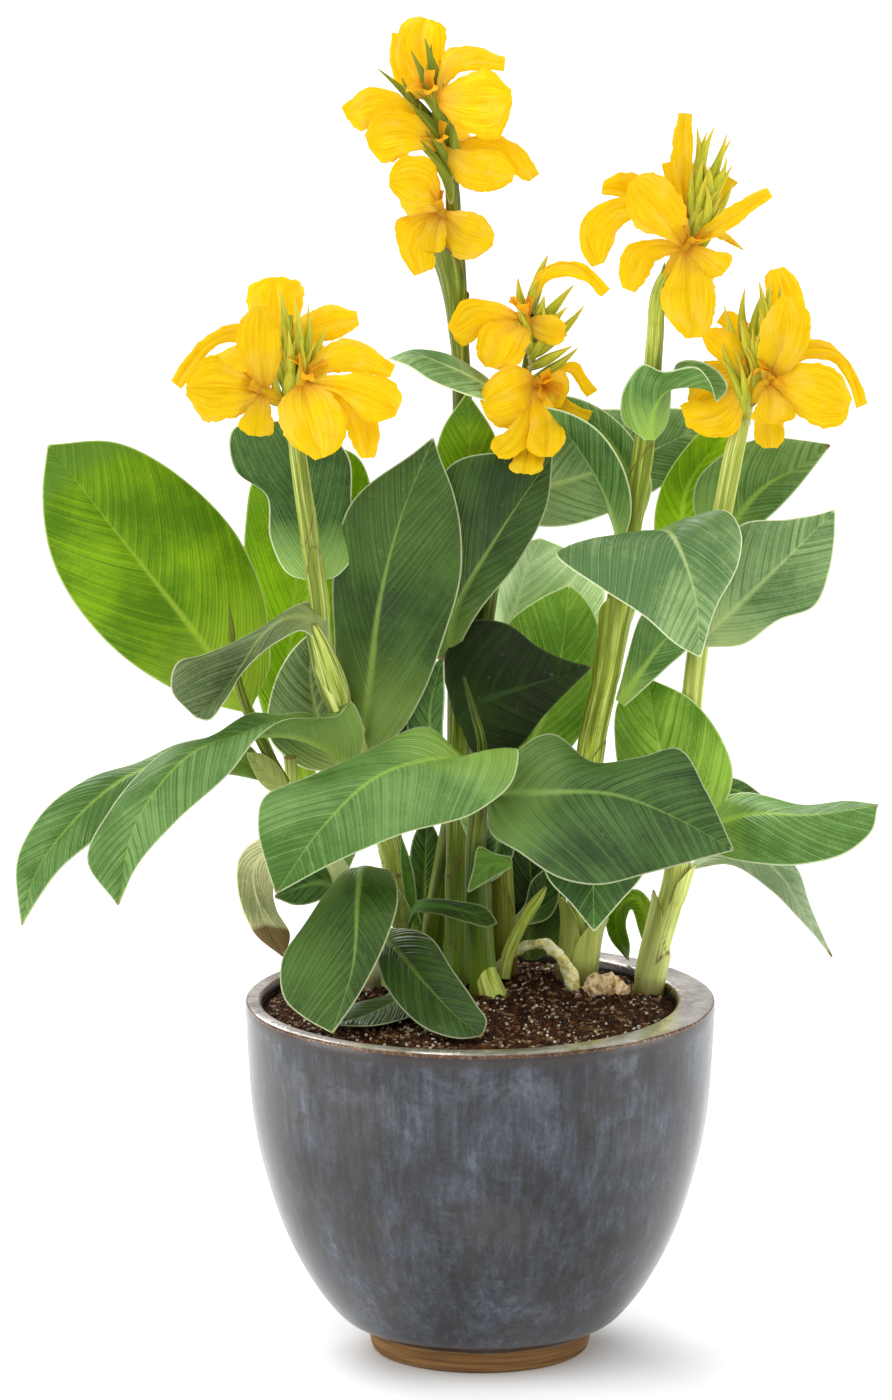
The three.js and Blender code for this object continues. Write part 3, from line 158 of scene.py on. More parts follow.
# Glossy stoneware glaze: a wet-looking skin with runs about 10 mm wide and ten times as long,
# cloudy pale patches where it pooled, dark spots where it ran thin, and fine specks. It broke to
# a brown line on the edge of the rim and fired to a lustre on its flat top. The foot ring is dry
# unglazed clay with the marks of the wheel
glaze, t = new_material("slate_glaze_on_stoneware")
at = add(t, "TexCoord").outputs["Object"]
height = add(t, "SeparateXYZ", {0: at}).outputs["Z"]
runs = add(t, "TexNoise", {
    "Vector": add(t, "Mapping", {"Vector": at, "Scale": (110, 110, 10)}), "Scale": 1.0, "Detail": 8.0,
    "Roughness": 0.72})
clouds = add(t, "TexNoise", {
    "Vector": add(t, "Mapping", {"Vector": at, "Scale": (15, 15, 11)}), "Scale": 1.0, "Detail": 10.0,
    "Roughness": 0.72, "Distortion": 0.4})
specks = add(t, "TexNoise", {"Vector": at, "Scale": 260.0, "Detail": 4.0, "Roughness": 0.7})
thin_spots = add(t, "TexNoise", {
    "Vector": add(t, "Mapping", {"Vector": at, "Scale": (26, 26, 48)}), "Scale": 1.0, "Detail": 3.0})
iron = add(t, "TexNoise", {"Vector": at, "Scale": 9.0, "Detail": 4.0})
mottle = summed(t, (clouds, 0.5), (runs, 0.36), (specks, 0.14))
slate = add(t, "ValToRGB", {0: mottle}, stops=[
    (0.42, "#0e0e11"), (0.475, "#202228"), (0.525, "#2f343d"), (0.575, "#414854"), (0.65, "#5f6874")])
rusty = painted(t, slate, "#3b322c", iron, 0.50, 0.66, 0.45)
spotted = painted(t, rusty, "#211e1d", thin_spots, 0.66, 0.70, 0.6)
pale_top = add(t, "Math", {
    0: add(t, "MapRange", {0: height, 1: PALE_BAND[0], 2: PALE_BAND[1]}),
    1: add(t, "MapRange", {0: clouds, 1: 0.5, 2: 0.62, 4: 0.45})}, operation="MULTIPLY")
pooled = add(t, "Mix", {0: pale_top, 6: spotted, 7: colour("#666c74")}, data_type="RGBA")
rim_height = summed(t, (height, 1), (clouds, 0.002))
dark_lip = painted(t, pooled, "#2a211d", rim_height, *DARK_LIP, 0.75)
brown = add(t, "ValToRGB", {0: specks}, stops=[(0.38, "#2e1c10"), (0.55, "#5e3f25"), (0.72, "#a8845c")])
broke_brown = painted(t, dark_lip, brown, rim_height, *BROWN_EDGE)
on_top = add(t, "MapRange", {0: rim_height, 1: RIM_TOP[0], 2: RIM_TOP[1]})
lustre = add(t, "ValToRGB", {0: mottle}, stops=[(0.40, "#a0968a"), (0.5, "#d8cfc5"), (0.6, "#f4efe8")])
glaze_colour = add(t, "Mix", {0: on_top, 6: broke_brown, 7: lustre}, data_type="RGBA")
wavy = add(t, "MapRange", {0: clouds, 1: 0.3, 2: 0.7, 3: -0.0015, 4: 0.0015})
foot_height = summed(t, (height, 1), (wavy, 1))
glazed = add(t, "MapRange", {0: foot_height, 1: GLAZE_EDGE[0], 2: GLAZE_EDGE[1]})
throwing = add(t, "TexNoise", {
    "Vector": add(t, "Mapping", {"Vector": at, "Scale": (12, 12, 240)}), "Scale": 1.0, "Detail": 3.0})
clay = add(t, "ValToRGB", {0: throwing}, stops=[(0.35, "#64431f"), (0.5, "#7b562a"), (0.65, "#8f6a38")])
relief = summed(t, (runs, 1), (specks, 0.5))
wall_gloss = add(t, "MapRange", {0: clouds, 1: 0.4, 2: 0.65, 3: 0.12, 4: 0.28})
shader = add(t, "BsdfPrincipled", {
    "Base Color": add(t, "Mix", {0: glazed, 6: clay, 7: glaze_colour}, data_type="RGBA"),
    "Roughness": add(t, "MapRange", {0: glazed, 3: 0.85, 4: wall_gloss}), "IOR": 1.5,
    "Metallic": add(t, "Math", {0: on_top, 1: 0.85}, operation="MULTIPLY"),
    "Normal": add(t, "Bump", {"Height": relief, "Strength": 0.35, "Distance": 0.0008})})
add(t, "OutputMaterial", {0: shader})


def rounded(profile, steps=6):
    """Close points on a smooth line through the given ones; columns past the third only follow along."""
    p = np.array(profile, float)
    p = np.vstack([2 * p[0] - p[1], p, 2 * p[-1] - p[-2]])
    gap = np.maximum(np.linalg.norm(np.diff(p[:, :3], axis=0), axis=1), 1e-9)
    made = []
    for k in range(1, len(p) - 2):
        a, b, c, d = p[k - 1:k + 3]
        before, here, after = gap[k - 1:k + 2]
        leave = ((b - a) / before - (c - a) / (before + here) + (c - b) / here) * here
        arrive = ((c - b) / here - (d - b) / (here + after) + (d - c) / after) * here
        for w in np.linspace(0, 1, steps, endpoint=False):
            made.append(b + w * leave + w**2 * (3 * (c - b) - 2 * leave - arrive)
                        + w**3 * (2 * (b - c) + leave + arrive))
    made.append(p[-2])
    return np.array(made)


outside = rounded(POT_OUTSIDE)
outside[:, 1] = np.clip(outside[:, 1], 0.0, RIM_HEIGHT)
pot_rows = [ring_points(0.0, 0.0)] + [ring_points(r, z) for r, z in outside]
pot_rows += [ring_points(r, z, MOUTH_SHIFT) for r, z in rounded(POT_INSIDE, 3)]
pot_faces = grid_faces(len(pot_rows), POT_SIDES, closed=True)
pot = make_piece("planter", np.array(pot_rows), pot_faces, glaze, sharp=70.0)
stands_for(pot, "glazed_stoneware", "pot")

# ---- Soil ----
# Peat-based potting compost, heaped a little round the stems: lumps of 7 and 15 mm with crumbs on
# them, white grains of perlite and bits of composted bark. It lies loose in the pot and touches
# the wall all round.

# Height of the soil at the wall, how far the mound rises over it, the most that a lump may reach,
# and how far down the side goes; the gap to the wall keeps the two surfaces apart
SOIL_EDGE = 0.344
SOIL_RISE = 0.022
SOIL_HIGHEST = 0.372
SOIL_SIDE = 0.315
WALL_GAP = 0.0006
# Height and width of the coarse lumps and of the fine ones
LUMPS = [(0.0020, 0.015), (0.0018, 0.0068)]
FULL_TURN = 6.283
rng = np.random.default_rng(5)


def ground_height(x, y):
    """Height of the mound of soil, in metres, without its crumbs."""
    out = np.minimum(np.hypot(x - MOUTH_SHIFT, y) / MOUTH_RADIUS, 1)
    mound = SOIL_RISE * (1 - out**2) * (0.85 + 0.25 * y / MOUTH_RADIUS)
    return SOIL_EDGE + mound + 0.0022 * np.sin(x / 0.017) * np.cos(y / 0.014 + x / 0.031)


def crumbs(x, y, size, count=40):
    """Lumps about as wide as size, from many short waves in random directions."""
    made = np.zeros_like(x)
    turns, phases = rng.uniform(0, 6.28, count), rng.uniform(0, 6.28, count)
    for turn, phase, stretch in zip(turns, phases, rng.uniform(0.6, 1.6, count)):
        made += np.sin((x * math.cos(turn) + y * math.sin(turn)) * 6.28 * stretch / size + phase)
    return made / math.sqrt(count)


# Damp peat is dull, with reddish-brown crumbs and tan fibres on top; it is nearly black in its hollows,
# partly painted shade
compost, t = new_material("peat_compost")
at = add(t, "TexCoord").outputs["Object"]
grains = add(t, "TexVoronoi", {"Vector": at, "Scale": 330.0, "Randomness": 1.0}).outputs["Distance"]
peat = add(t, "TexNoise", {"Vector": at, "Scale": 170.0, "Detail": 8.0, "Roughness": 0.78})
crumbly = summed(t, (grains, 1), (peat, 1))
shader = add(t, "BsdfPrincipled", {
    "Base Color": add(t, "ValToRGB", {0: peat}, stops=[
        (0.38, "#0c0501"), (0.5, "#351b09"), (0.6, "#683c15"), (0.7, "#b48546")]),
    "Roughness": 0.95, "Specular IOR Level": 0.2,
    "Normal": add(t, "Bump", {"Height": crumbly, "Strength": 1.0, "Distance": 0.003})})
add(t, "OutputMaterial", {0: shader})

turns = np.linspace(0, 2 * np.pi, 200, endpoint=False)
outs = np.linspace(0, 1, 64) ** 0.75
soil_r = np.outer(outs, np.full(len(turns), MOUTH_RADIUS - WALL_GAP))
soil_x = MOUTH_SHIFT + soil_r * np.cos(turns)
soil_y = soil_r * np.sin(turns)
soil_z = ground_height(soil_x, soil_y)
for high, wide in LUMPS:
    soil_z = soil_z + high * crumbs(soil_x, soil_y, wide)
soil_top = np.stack([soil_x, soil_y, np.minimum(soil_z, SOIL_HIGHEST)], 2)
soil_side = soil_top[-1:].copy()
soil_side[:, :, 2] = SOIL_SIDE
soil_bed = soil_side.copy()
soil_bed[:, :, :2] = (MOUTH_SHIFT, 0.0)
soil = make_piece("potting_compost", np.concatenate([soil_top, soil_side, soil_bed]),
                  grid_faces(len(outs) + 2, len(turns), closed=True)[:, ::-1], compost, sharp=180.0)
stands_for(soil, "potting_soil", "soil")

# Perlite is puffed volcanic glass in dull white angular grains of 1 to 3.5 mm. Bark is tan chips.
# Each has its material and how fine its mottling is, its darker and its lighter colour, how many
# lie on the soil, their least and greatest size, and how long, wide and thick they are
GRAINS = {
    "perlite": ("perlite_grains", 400.0, (0.3, "#8f8064"), (0.6, "#d6ccb6"),
                700, 0.0012, 0.0036, (1.0, 0.9, 0.8)),
    "bark_bits": ("composted_bark", 300.0, (0.3, "#4a321d"), (0.7, "#96734b"),
                  1100, 0.002, 0.009, (1.0, 0.42, 0.3)),
}
# How far the grains keep from the wall, and how far their middle stands over the mound
GRAIN_MARGIN = 0.006
GRAIN_LIFT = 0.0012
GRAIN_CORNERS = np.array([(x, y, z) for z in (-1, 1) for y in (-1, 1) for x in (-1, 1)], float)
GRAIN_SIDES = np.array([(0, 2, 3, 1), (4, 5, 7, 6), (0, 1, 5, 4), (2, 6, 7, 3), (0, 4, 6, 2), (1, 3, 7, 5)])
for name, (label, fineness, dark, light, count, least, most, shape) in GRAINS.items():
    skin, t = new_material(label)
    mottling = add(t, "TexNoise", {"Vector": add(t, "TexCoord").outputs["Object"], "Scale": fineness})
    shader = add(t, "BsdfPrincipled", {
        "Base Color": add(t, "ValToRGB", {0: mottling}, stops=[dark, light]), "Roughness": 0.9})
    add(t, "OutputMaterial", {0: shader})
    points, faces = [], []
    for k in range(count):
        r = (MOUTH_RADIUS - GRAIN_MARGIN) * math.sqrt(rng.uniform(0, 1))
        a = rng.uniform(0, FULL_TURN)
        x, y = MOUTH_SHIFT + r * math.cos(a), r * math.sin(a)
        size = rng.uniform(least, most) / 2
        turn = rng.uniform(0, FULL_TURN)
        grain = GRAIN_CORNERS * rng.uniform(0.55, 1.0, (8, 3)) * np.array(shape) * size
        spun = grain.copy()
        spun[:, 0] = grain[:, 0] * math.cos(turn) - grain[:, 1] * math.sin(turn)
        spun[:, 1] = grain[:, 0] * math.sin(turn) + grain[:, 1] * math.cos(turn)
        points.append(spun + (x, y, ground_height(x, y) + GRAIN_LIFT))
        faces.append(GRAIN_SIDES + 8 * k)
    grains = make_piece(name, np.concatenate(points), np.concatenate(faces), skin, sharp=20.0)
    stands_for(grains, "potting_soil")

# ---- Rhizomes ----
# Canna grows from fleshy rhizomes just under the soil. One root arches out of the ground beside
# the front shoot and a group of knobbly lumps lies bare at the right: tan papery skin over
# cream flesh, ringed with the scars of old scale leaves about 9 mm apart.

# Every place on the plant is [across, rise, behind]. Across and rise are read in millimetres on
# a leaning board that stands on the pot's axis, as an eye far in front of the pot sights past
# the place onto the board. Behind is how far back the place lies from the pot's axis. A fourth
# number is the radius of a stalk there, in millimetres
EYE_TILT = math.radians(12.4)
EYE_DISTANCE = 12000
BOARD_UP = np.array([0, math.sin(EYE_TILT), math.cos(EYE_TILT)])
TO_EYE = np.array([0, -math.cos(EYE_TILT), math.sin(EYE_TILT)])
EYE = np.array([-34.0, 0, 0]) + 645 * BOARD_UP + EYE_DISTANCE * TO_EYE

# The bare rhizomes, as stations with their radii
RHIZOMES = [
  ["rhizome_arch", [
    [16, 378, 64, 3.5], [30, 390, 60, 4], [46, 399, 56, 4.8], [64, 401, 50, 5.2], [80, 388, 42, 5.8],
    [91, 368, 34, 7], [95, 350, 30, 7]]],
  ["rhizome_right", [
    [106, 350, 20, 9], [120, 359, 26, 13], [136, 356, 30, 11], [146, 345, 34, 7]]],
]
SCAR_SPACING = 0.009
KNOB_HEIGHTS = {"rhizome_arch": 0.0008, "rhizome_right": 0.0015}


def place(spot):
    """A sighted place as a point in metres."""
    line = np.array([spot[0], 0, 0]) + spot[1] * BOARD_UP - EYE
    return (EYE + line * (spot[2] - EYE[1]) / line[1]) / 1000


def placed(spots):
    """Sighted places as an array of points."""
    return np.array([place(spot) for spot in spots])


def radii_of(stations):
    """The radii of stations, in metres."""
    return np.array([station[3] for station in stations]) / 1000


def length_of(points):
    return np.linalg.norm(np.diff(points, axis=0), axis=1).sum()


def smooth_line(points):
    """A smooth curve through the points: close points on it, and how far along each one is."""
    line = rounded(points, 16)
    return line, np.r_[0, np.cumsum(np.linalg.norm(np.diff(line[:, :3], axis=0), axis=1))]


def on_line(curve, shares):
    """Points, or other numbers, at the given shares of a curve's length."""
    line, far = curve
    wanted = np.asarray(shares) * far[-1]
    return np.stack([np.interp(wanted, far, column) for column in line.T], 1)


def unit(vectors):
    return vectors / np.maximum(np.linalg.norm(vectors, axis=-1, keepdims=True), 1e-12)


def square_to(vectors, along):
    """The part of each vector at right angles to along, at length 1."""
    return unit(vectors - (vectors * along).sum(-1, keepdims=True) * along)


def round_tube(points, radii, rings, sides, swell=None):
    """Points, faces, and share along and round, of a round tube that follows the points."""
    shares = np.linspace(0, 1, rings)
    found = on_line(smooth_line(np.hstack([points, np.reshape(radii, (-1, 1))])), shares)
    centre, radius = found[:, :3], found[:, 3]
    tangent = unit(np.gradient(centre, axis=0))
    side = square_to(np.array([[0.0, 1.0, 0.0]]), tangent)
    other = np.cross(tangent, side)
    turn = 2 * np.pi * np.arange(sides) / sides
    reach = radius[:, None] * np.ones(sides)
    if swell is not None:
        reach = reach + swell(shares[:, None], turn[None, :])
    ring = centre[:, None] + reach[..., None] * (
        side[:, None] * np.cos(turn)[None, :, None] + other[:, None] * np.sin(turn)[None, :, None])
    faces = [tuple(f) for f in grid_faces(rings, sides, closed=True)]
    faces.append(tuple(range(sides))[::-1])
    faces.append(tuple((rings - 1) * sides + k for k in range(sides)))
    where = np.stack([np.repeat(shares, sides), np.tile(turn, rings)], 1)
    return ring.reshape(-1, 3), faces, where


def joined(parts):
    """Several (points, faces, values...) as one."""
    points, faces, values, start = [], [], [], 0
    for made, made_faces, made_values in parts:
        points.append(made)
        faces += [tuple(int(k) + start for k in f) for f in made_faces]
        values.append(made_values)
        start += len(made)
    return np.concatenate(points), faces, np.concatenate(values)


def root_material(name, dark, mid, light):
    """Skin of a rhizome: flaking patches, brown where it is torn, and faint rings of old scars."""
    made, t = new_material(name)
    at = add(t, "TexCoord").outputs["Object"]
    along = add(t, "Attribute", attribute_name="along").outputs["Fac"]
    flesh = add(t, "TexNoise", {"Vector": at, "Scale": 110.0, "Detail": 7.0, "Roughness": 0.7})
    torn = add(t, "TexNoise", {"Vector": at, "Scale": 45.0, "Detail": 5.0})
    rings = add(t, "Math", {0: summed(t, (along, FULL_TURN / SCAR_SPACING), (flesh, 4.0))}, operation="SINE")
    tone = add(t, "ValToRGB", {0: flesh}, stops=[(0.36, dark), (0.48, mid), (0.62, light)])
    patched = painted(t, tone, "#5f4322", torn, 0.58, 0.66, 0.6)
    skin = add(t, "BsdfPrincipled", {
        "Base Color": painted(t, patched, dark, rings, 0.9, 1.0, 0.5), "Roughness": 0.6,
        "Normal": add(t, "Bump", {"Height": flesh, "Strength": 0.8, "Distance": 0.0018})})
    add(t, "OutputMaterial", {0: skin})
    return made


ROOT_SKINS = {
    "rhizome_arch": root_material("fresh_rhizome_skin", "#d0ba58", "#fcf2a4", "#fffdea"),
    "rhizome_right": root_material("old_rhizome_skin", "#8e6a3c", "#e0bd86", "#fbebc6"),
}

for name, stations in RHIZOMES:
    points = placed(stations)
    high = KNOB_HEIGHTS[name]

    def knobs(v, a):
        return high * (np.sin(v * 21 + 2 * a) + 0.7 * np.sin(v * 37 - 3 * a) + 0.5 * np.sin(v * 63 + 5 * a))

    made, faces, where = round_tube(points, radii_of(stations), 80, 24, knobs)
    root = make_piece(name + "_skin", made, faces, ROOT_SKINS[name], along=where[:, 0] * length_of(points))
    stands_for(root, "rhizome_skin", name)

# ---- Stems ----
# Fleshy pseudostems, made of leaf bases rolled round each other, each ending in the flower
# stalk with its cluster of pointed buds. A leaf base ends in a slanting edge that dries brown.

# Each stem's stations from the ground up, with their radii, and the tips of its buds
STEMS = [
  ["stem_left", [
    [-70, 372, 70, 13], [-75, 427, 62, 13], [-88, 495, 52, 13], [-120, 600, 30, 13],
    [-147, 655, 10, 12], [-164, 762, -15, 9], [-173, 825, -22, 9.5], [-182, 890, -30, 9],
    [-189, 957, -30, 7], [-190, 1000, -28, 4], [-190, 1030, -26, 2.5]],
  [[-201, 1059, -32], [-186, 1047, -45], [-172, 1041, -30], [-214, 1039, -25], [-152, 1022, -30]]],
  ["stem_tall", [
    [-22, 361, 44, 13], [-21, 520, 62, 13], [-20, 700, 75, 12], [-18, 955, 85, 10],
    [-20, 1005, 85, 9], [-23, 1083, 85, 8], [-28, 1150, 85, 6], [-32, 1225, 85, 4],
    [-38, 1285, 83, 2.5]],
  [[-55, 1307, 85], [-69, 1295, 78], [-49, 1301, 95], [-102, 1277, 85], [-78, 1268, 70],
    [-69, 1241, 62], [-39, 1271, 80]]],
  ["stem_middle", [
    [-48, 378, 90, 12], [-20, 560, 92, 12], [6, 745, 92, 11], [30, 880, 90, 8],
    [48, 985, 88, 5], [54, 1035, 87, 3], [58, 1060, 86, 2]],
  [[68, 1091, 85], [38, 1068, 82], [94, 1061, 88], [104, 1040, 90]]],
  ["stem_right", [
    [97, 370, 76, 19], [101, 430, 73, 14], [105, 545, 70, 14], [112, 605, 66, 14],
    [125, 665, 62, 13], [138, 745, 60, 12], [152, 825, 60, 11], [163, 895, 55, 11],
    [170, 945, 50, 10], [175, 1005, 45, 9], [180, 1055, 40, 8], [196, 1088, 36, 5],
    [212, 1120, 34, 4], [222, 1160, 33, 2.5]],
  [[217, 1218, 30], [227, 1214, 38], [234, 1218, 25], [247, 1212, 34], [251, 1206, 42],
    [247, 1189, 28], [253, 1164, 30]]],
  ["stem_far_right", [
    [168, 351, 66, 14], [197, 474, 62, 13], [206, 570, 58, 12], [214, 666, 52, 11],
    [228, 760, 45, 10.5], [243, 835, 38, 10.5], [256, 900, 30, 10], [264, 930, 28, 8],
    [276, 975, 26, 5], [284, 1020, 26, 4], [290, 1055, 26, 2.5]],
  [[244, 1040, 20], [265, 1058, 28], [279, 1064, 18], [283, 1054, 35], [290, 1063, 24],
    [300, 1063, 30], [263, 1025, 12]]],
  ["shoot_front", [
    [4, 342, 2, 14], [0, 400, 0, 12.5], [-4, 480, -5, 11], [0, 560, -12, 8],
    [2, 600, -15, 5], [-8, 640, -18, 3.5], [-16, 668, -20, 1.2]], []],
  ["shoot_left", [
    [-110, 368, 40, 12], [-125, 440, 20, 12], [-160, 500, 0, 11], [-205, 555, -10, 8],
    [-216, 575, -10, 3]], []],
  ["shoot_back", [
    [25, 388, 78, 12], [22, 470, 85, 11], [18, 560, 95, 8], [15, 610, 98, 2]], []],
]
ROOT_DEPTH = 0.032

# How far below its tip each stem's buds are rooted
BUD_LENGTHS = {
    "stem_left": 0.088, "stem_tall": 0.080, "stem_middle": 0.056, "stem_right": 0.088,
    "stem_far_right": 0.080}

# Where the leaf bases end on each stem: share of its length, the side it opens to in degrees, and
# how much thicker the stem is below it, in millimetres
SHEATHS = {
    "stem_left": [(0.10, 200, 2.0), (0.22, 20, 1.6), (0.40, 250, 1.8), (0.50, 100, 1.4), (0.72, 300, 1.2)],
    "stem_tall": [(0.06, 120, 2.5), (0.17, 300, 1.6), (0.40, 60, 1.4), (0.60, 200, 1.2), (0.80, 250, 1.6)],
    "stem_middle": [(0.10, 60, 2.0), (0.35, 220, 1.5), (0.62, 100, 1.2)],
    "stem_right": [(0.07, 230, 4.5), (0.12, 80, 2.5), (0.30, 260, 1.6), (0.46, 40, 1.6), (0.66, 240, 1.4)],
    "stem_far_right": [(0.08, 250, 3.5), (0.13, 90, 2.4), (0.36, 300, 1.6), (0.60, 120, 1.3)],
    "shoot_front": [(0.10, 250, 4.0), (0.30, 100, 1.8), (0.62, 280, 1.0)],
    "shoot_left": [(0.30, 100, 2.2), (0.66, 250, 1.6)],
    "shoot_back": [(0.20, 200, 2.0), (0.60, 90, 1.5)],
}



def stalk_material(name, dark, mid, light, foot):
    """Living stalk: waxy skin with lengthwise streaks 1 to 3 mm wide, broad dark streaks of painted shade
    on its sides, pale where it leaves the ground, and a dry brown lip where a leaf base ends."""
    made, t = new_material(name)
    at = add(t, "TexCoord").outputs["Object"]
    spot = add(t, "Attribute", attribute_name="spot").outputs["Vector"]
    from_foot = add(t, "SeparateXYZ", {0: spot}).outputs["X"]
    seam = add(t, "Attribute", attribute_name="seam").outputs["Fac"]
    fibres = add(t, "TexNoise", {
        "Vector": add(t, "VectorMath", {0: spot, 1: (11, 5, 0)}, operation="MULTIPLY"), "Scale": 1.0,
        "Detail": 6.0, "Roughness": 0.65})
    side_shade = add(t, "TexNoise", {
        "Vector": add(t, "VectorMath", {0: spot, 1: (3, 1.1, 0)}, operation="MULTIPLY"), "Scale": 1.0,
        "Detail": 2.0})
    blotches = add(t, "TexNoise", {"Vector": at, "Scale": 24.0, "Detail": 6.0, "Roughness": 0.6})
    green = add(t, "ValToRGB", {0: fibres}, stops=[(0.34, dark), (0.5, mid), (0.64, light)])
    # Broad dark streaks round the stalk: painted shade on its sides
    folded = painted(t, green, dark, side_shade, 0.46, 0.6, 0.85)
    worn = painted(t, folded, dark, blotches, 0.5, 0.72, 0.5)
    pale_foot = painted(t, worn, foot, from_foot, 0.17, 0.06, 0.62)
    muddy = painted(t, pale_foot, "#5e4a22", summed(t, (from_foot, 1), (blotches, 0.03)), 0.070, 0.048, 0.75)
    skin = add(t, "BsdfPrincipled", {
        "Base Color": painted(t, muddy, "#6d4c22", seam, 0.3, 0.8, 0.85), "Roughness": 0.42, "IOR": 1.45,
        "Specular IOR Level": 0.22,
        "Normal": add(t, "Bump", {"Height": fibres, "Strength": 0.6, "Distance": 0.0008})})
    add(t, "OutputMaterial", {0: skin})
    return made


# The stalk colours carry painted light and shade: those in the light are yellow-green, those among the
# leaves a duller olive, the hindmost ones darker still, and the left shoot, which stands in shade, is
# painted pale. Each has the colour of its hollows, its skin, its ridges and its foot
STALK_SKINS = {name: stalk_material("waxy_" + name.replace("stem", "stalk"), *tones) for name, tones in {
    "stem_left": ("#5c6c14", "#a9b84c", "#e6ec9e", "#a2b252"),
    "stem_tall": ("#3c4804", "#6a7c1c", "#a8b050", "#688c22"),
    "stem_middle": ("#2e3a06", "#667818", "#aeb650", "#627812"),
    "stem_right": ("#5f7010", "#b2c242", "#eaf092", "#d2da7c"),
    "stem_far_right": ("#7e8e24", "#cad266", "#f6f8b0", "#d4de88"),
    "shoot_front": ("#203002", "#445808", "#7c8a2c", "#668418"),
    "shoot_left": ("#c4c878", "#f4f6bc", "#fffde6", "#f0f2bc"),
    "shoot_back": ("#3e4406", "#78801e", "#c6c05a", "#8a8a2c"),
}.items()}



def bud_material(name, low, middle, high, point):
    """Flower bud: smooth waxy green at the foot, turning yellow as the petals show at the point, with
    the pale edges of the scales that are rolled round it."""
    made, t = new_material(name)
    spot = add(t, "Attribute", attribute_name="spot").outputs["Vector"]
    from_foot, turn, share = add(t, "SeparateXYZ", {0: spot}).outputs
    ripeness = add(t, "ValToRGB", {0: share}, stops=[
        (0.0, "#d3d2a4"), (0.14, low), (0.42, middle), (0.72, high), (1.0, point)])
    streaks = add(t, "TexNoise", {
        "Vector": add(t, "VectorMath", {0: spot, 1: (40, 2.5, 0)}, operation="MULTIPLY"), "Scale": 1.0,
        "Detail": 3.0})
    greener = painted(t, ripeness, "#56640c", streaks, 0.42, 0.66, 0.55)
    overlap = add(t, "Math", {0: summed(t, (turn, 1), (from_foot, 30.0))}, operation="SINE")
    skin = add(t, "BsdfPrincipled", {
        "Base Color": painted(t, greener, "#e6e6bc", overlap, 0.84, 0.98, 0.85), "Roughness": 0.42,
        "IOR": 1.45, "Specular IOR Level": 0.25,
        "Normal": add(t, "Bump", {"Height": streaks, "Strength": 0.4, "Distance": 0.0005})})
    add(t, "OutputMaterial", {0: skin})
    return made


# Two copies of the bud skin: the yellower one for buds in the light, and a darker olive one, painted shade,
# for the buds on the tall stem
BUD_SKIN = bud_material("waxy_bud", "#a3ad3c", "#b2b630", "#c3bf2e", "#e4c83c")
SHADED_BUD_SKIN = bud_material("waxy_bud_in_shade", "#8a9630", "#77861c", "#7f8a1c", "#8f8f24")

# Girth of a bud at seven even steps from its foot to its point, as a share of its widest
BUD_GIRTHS = np.array([0.50, 0.80, 1.0, 0.92, 0.68, 0.38, 0.08])


def spindle(foot, point, girth, rings=12, sides=12):
    """A plump pointed bud from its foot to its point, a little crooked."""
    sway = np.cross(point - foot, [0.3, 1.0, 0.1]) * rng.uniform(-0.12, 0.12)
    share = np.linspace(0, 1, len(BUD_GIRTHS))
    centres = foot + np.outer(share, point - foot) + np.outer(4 * share * (1 - share), sway)

    def grooves(v, a):
        return girth * 0.07 * np.cos(3 * a) * np.sin(np.pi * v)

    made, faces, where = round_tube(centres, girth * BUD_GIRTHS, rings, sides, grooves)
    far = np.linalg.norm(point - foot)
    return made, faces, np.stack([where[:, 0] * far, where[:, 1], where[:, 0]], 1)


def thickened(middle, upper_lift, under_drop):
    """A closed thin solid round a sheet of points, lifted above and dropped below by the given amounts."""
    rows, columns = middle.shape[:2]
    down, on = np.r_[middle[:1], middle[:-1]], np.r_[middle[1:], middle[-1:]]
    left = np.hstack([middle[:, :1], middle[:, :-1]])
    right = np.hstack([middle[:, 1:], middle[:, -1:]])
    normal = unit(np.cross(right - left, on - down))
    upper = (middle + normal * upper_lift[..., None]).reshape(-1, 3)
    under = (middle - normal * under_drop[..., None]).reshape(-1, 3)
    top = grid_faces(rows, columns)
    count = rows * columns
    edge = np.r_[np.arange(columns), np.arange(2, rows) * columns - 1,
                 count - 1 - np.arange(columns), np.arange(rows - 2, 0, -1) * columns]
    ring = np.stack([edge, np.roll(edge, -1), np.roll(edge, -1) + count, edge + count], 1)[:, ::-1]
    return np.vstack([upper, under]), np.vstack([top, top[:, ::-1] + count, ring])


# Leaf bases that stand free of their stem: the height they leave it and that of their point, as
# rises, the side they face in degrees, how far they wrap to each side, and how far they flare
LEAF_BASES = {
    "stem_left": [(634, 722, 150, 105, 4.0), (720, 800, 200, 75, 0.8)],
    "stem_tall": [(985, 1120, 112, 105, 28.0), (1030, 1056, 205, 55, 3.0), (1120, 1186, 190, 70, 3.5)],
    "stem_middle": [(470, 560, 240, 80, 1.5)],
    "stem_right": [(652, 754, 190, 120, 5.5), (340, 450, 120, 80, 8.0), (338, 434, 235, 85, 11.0)],
    "stem_far_right": [(345, 452, 110, 85, 5.0), (440, 484, 250, 75, 4.0)],
    "shoot_front": [(346, 480, 205, 105, 1.8)],
    "shoot_back": [(352, 470, 150, 90, 4.0)],
}
LEAF_BASE_HALF = 0.0004


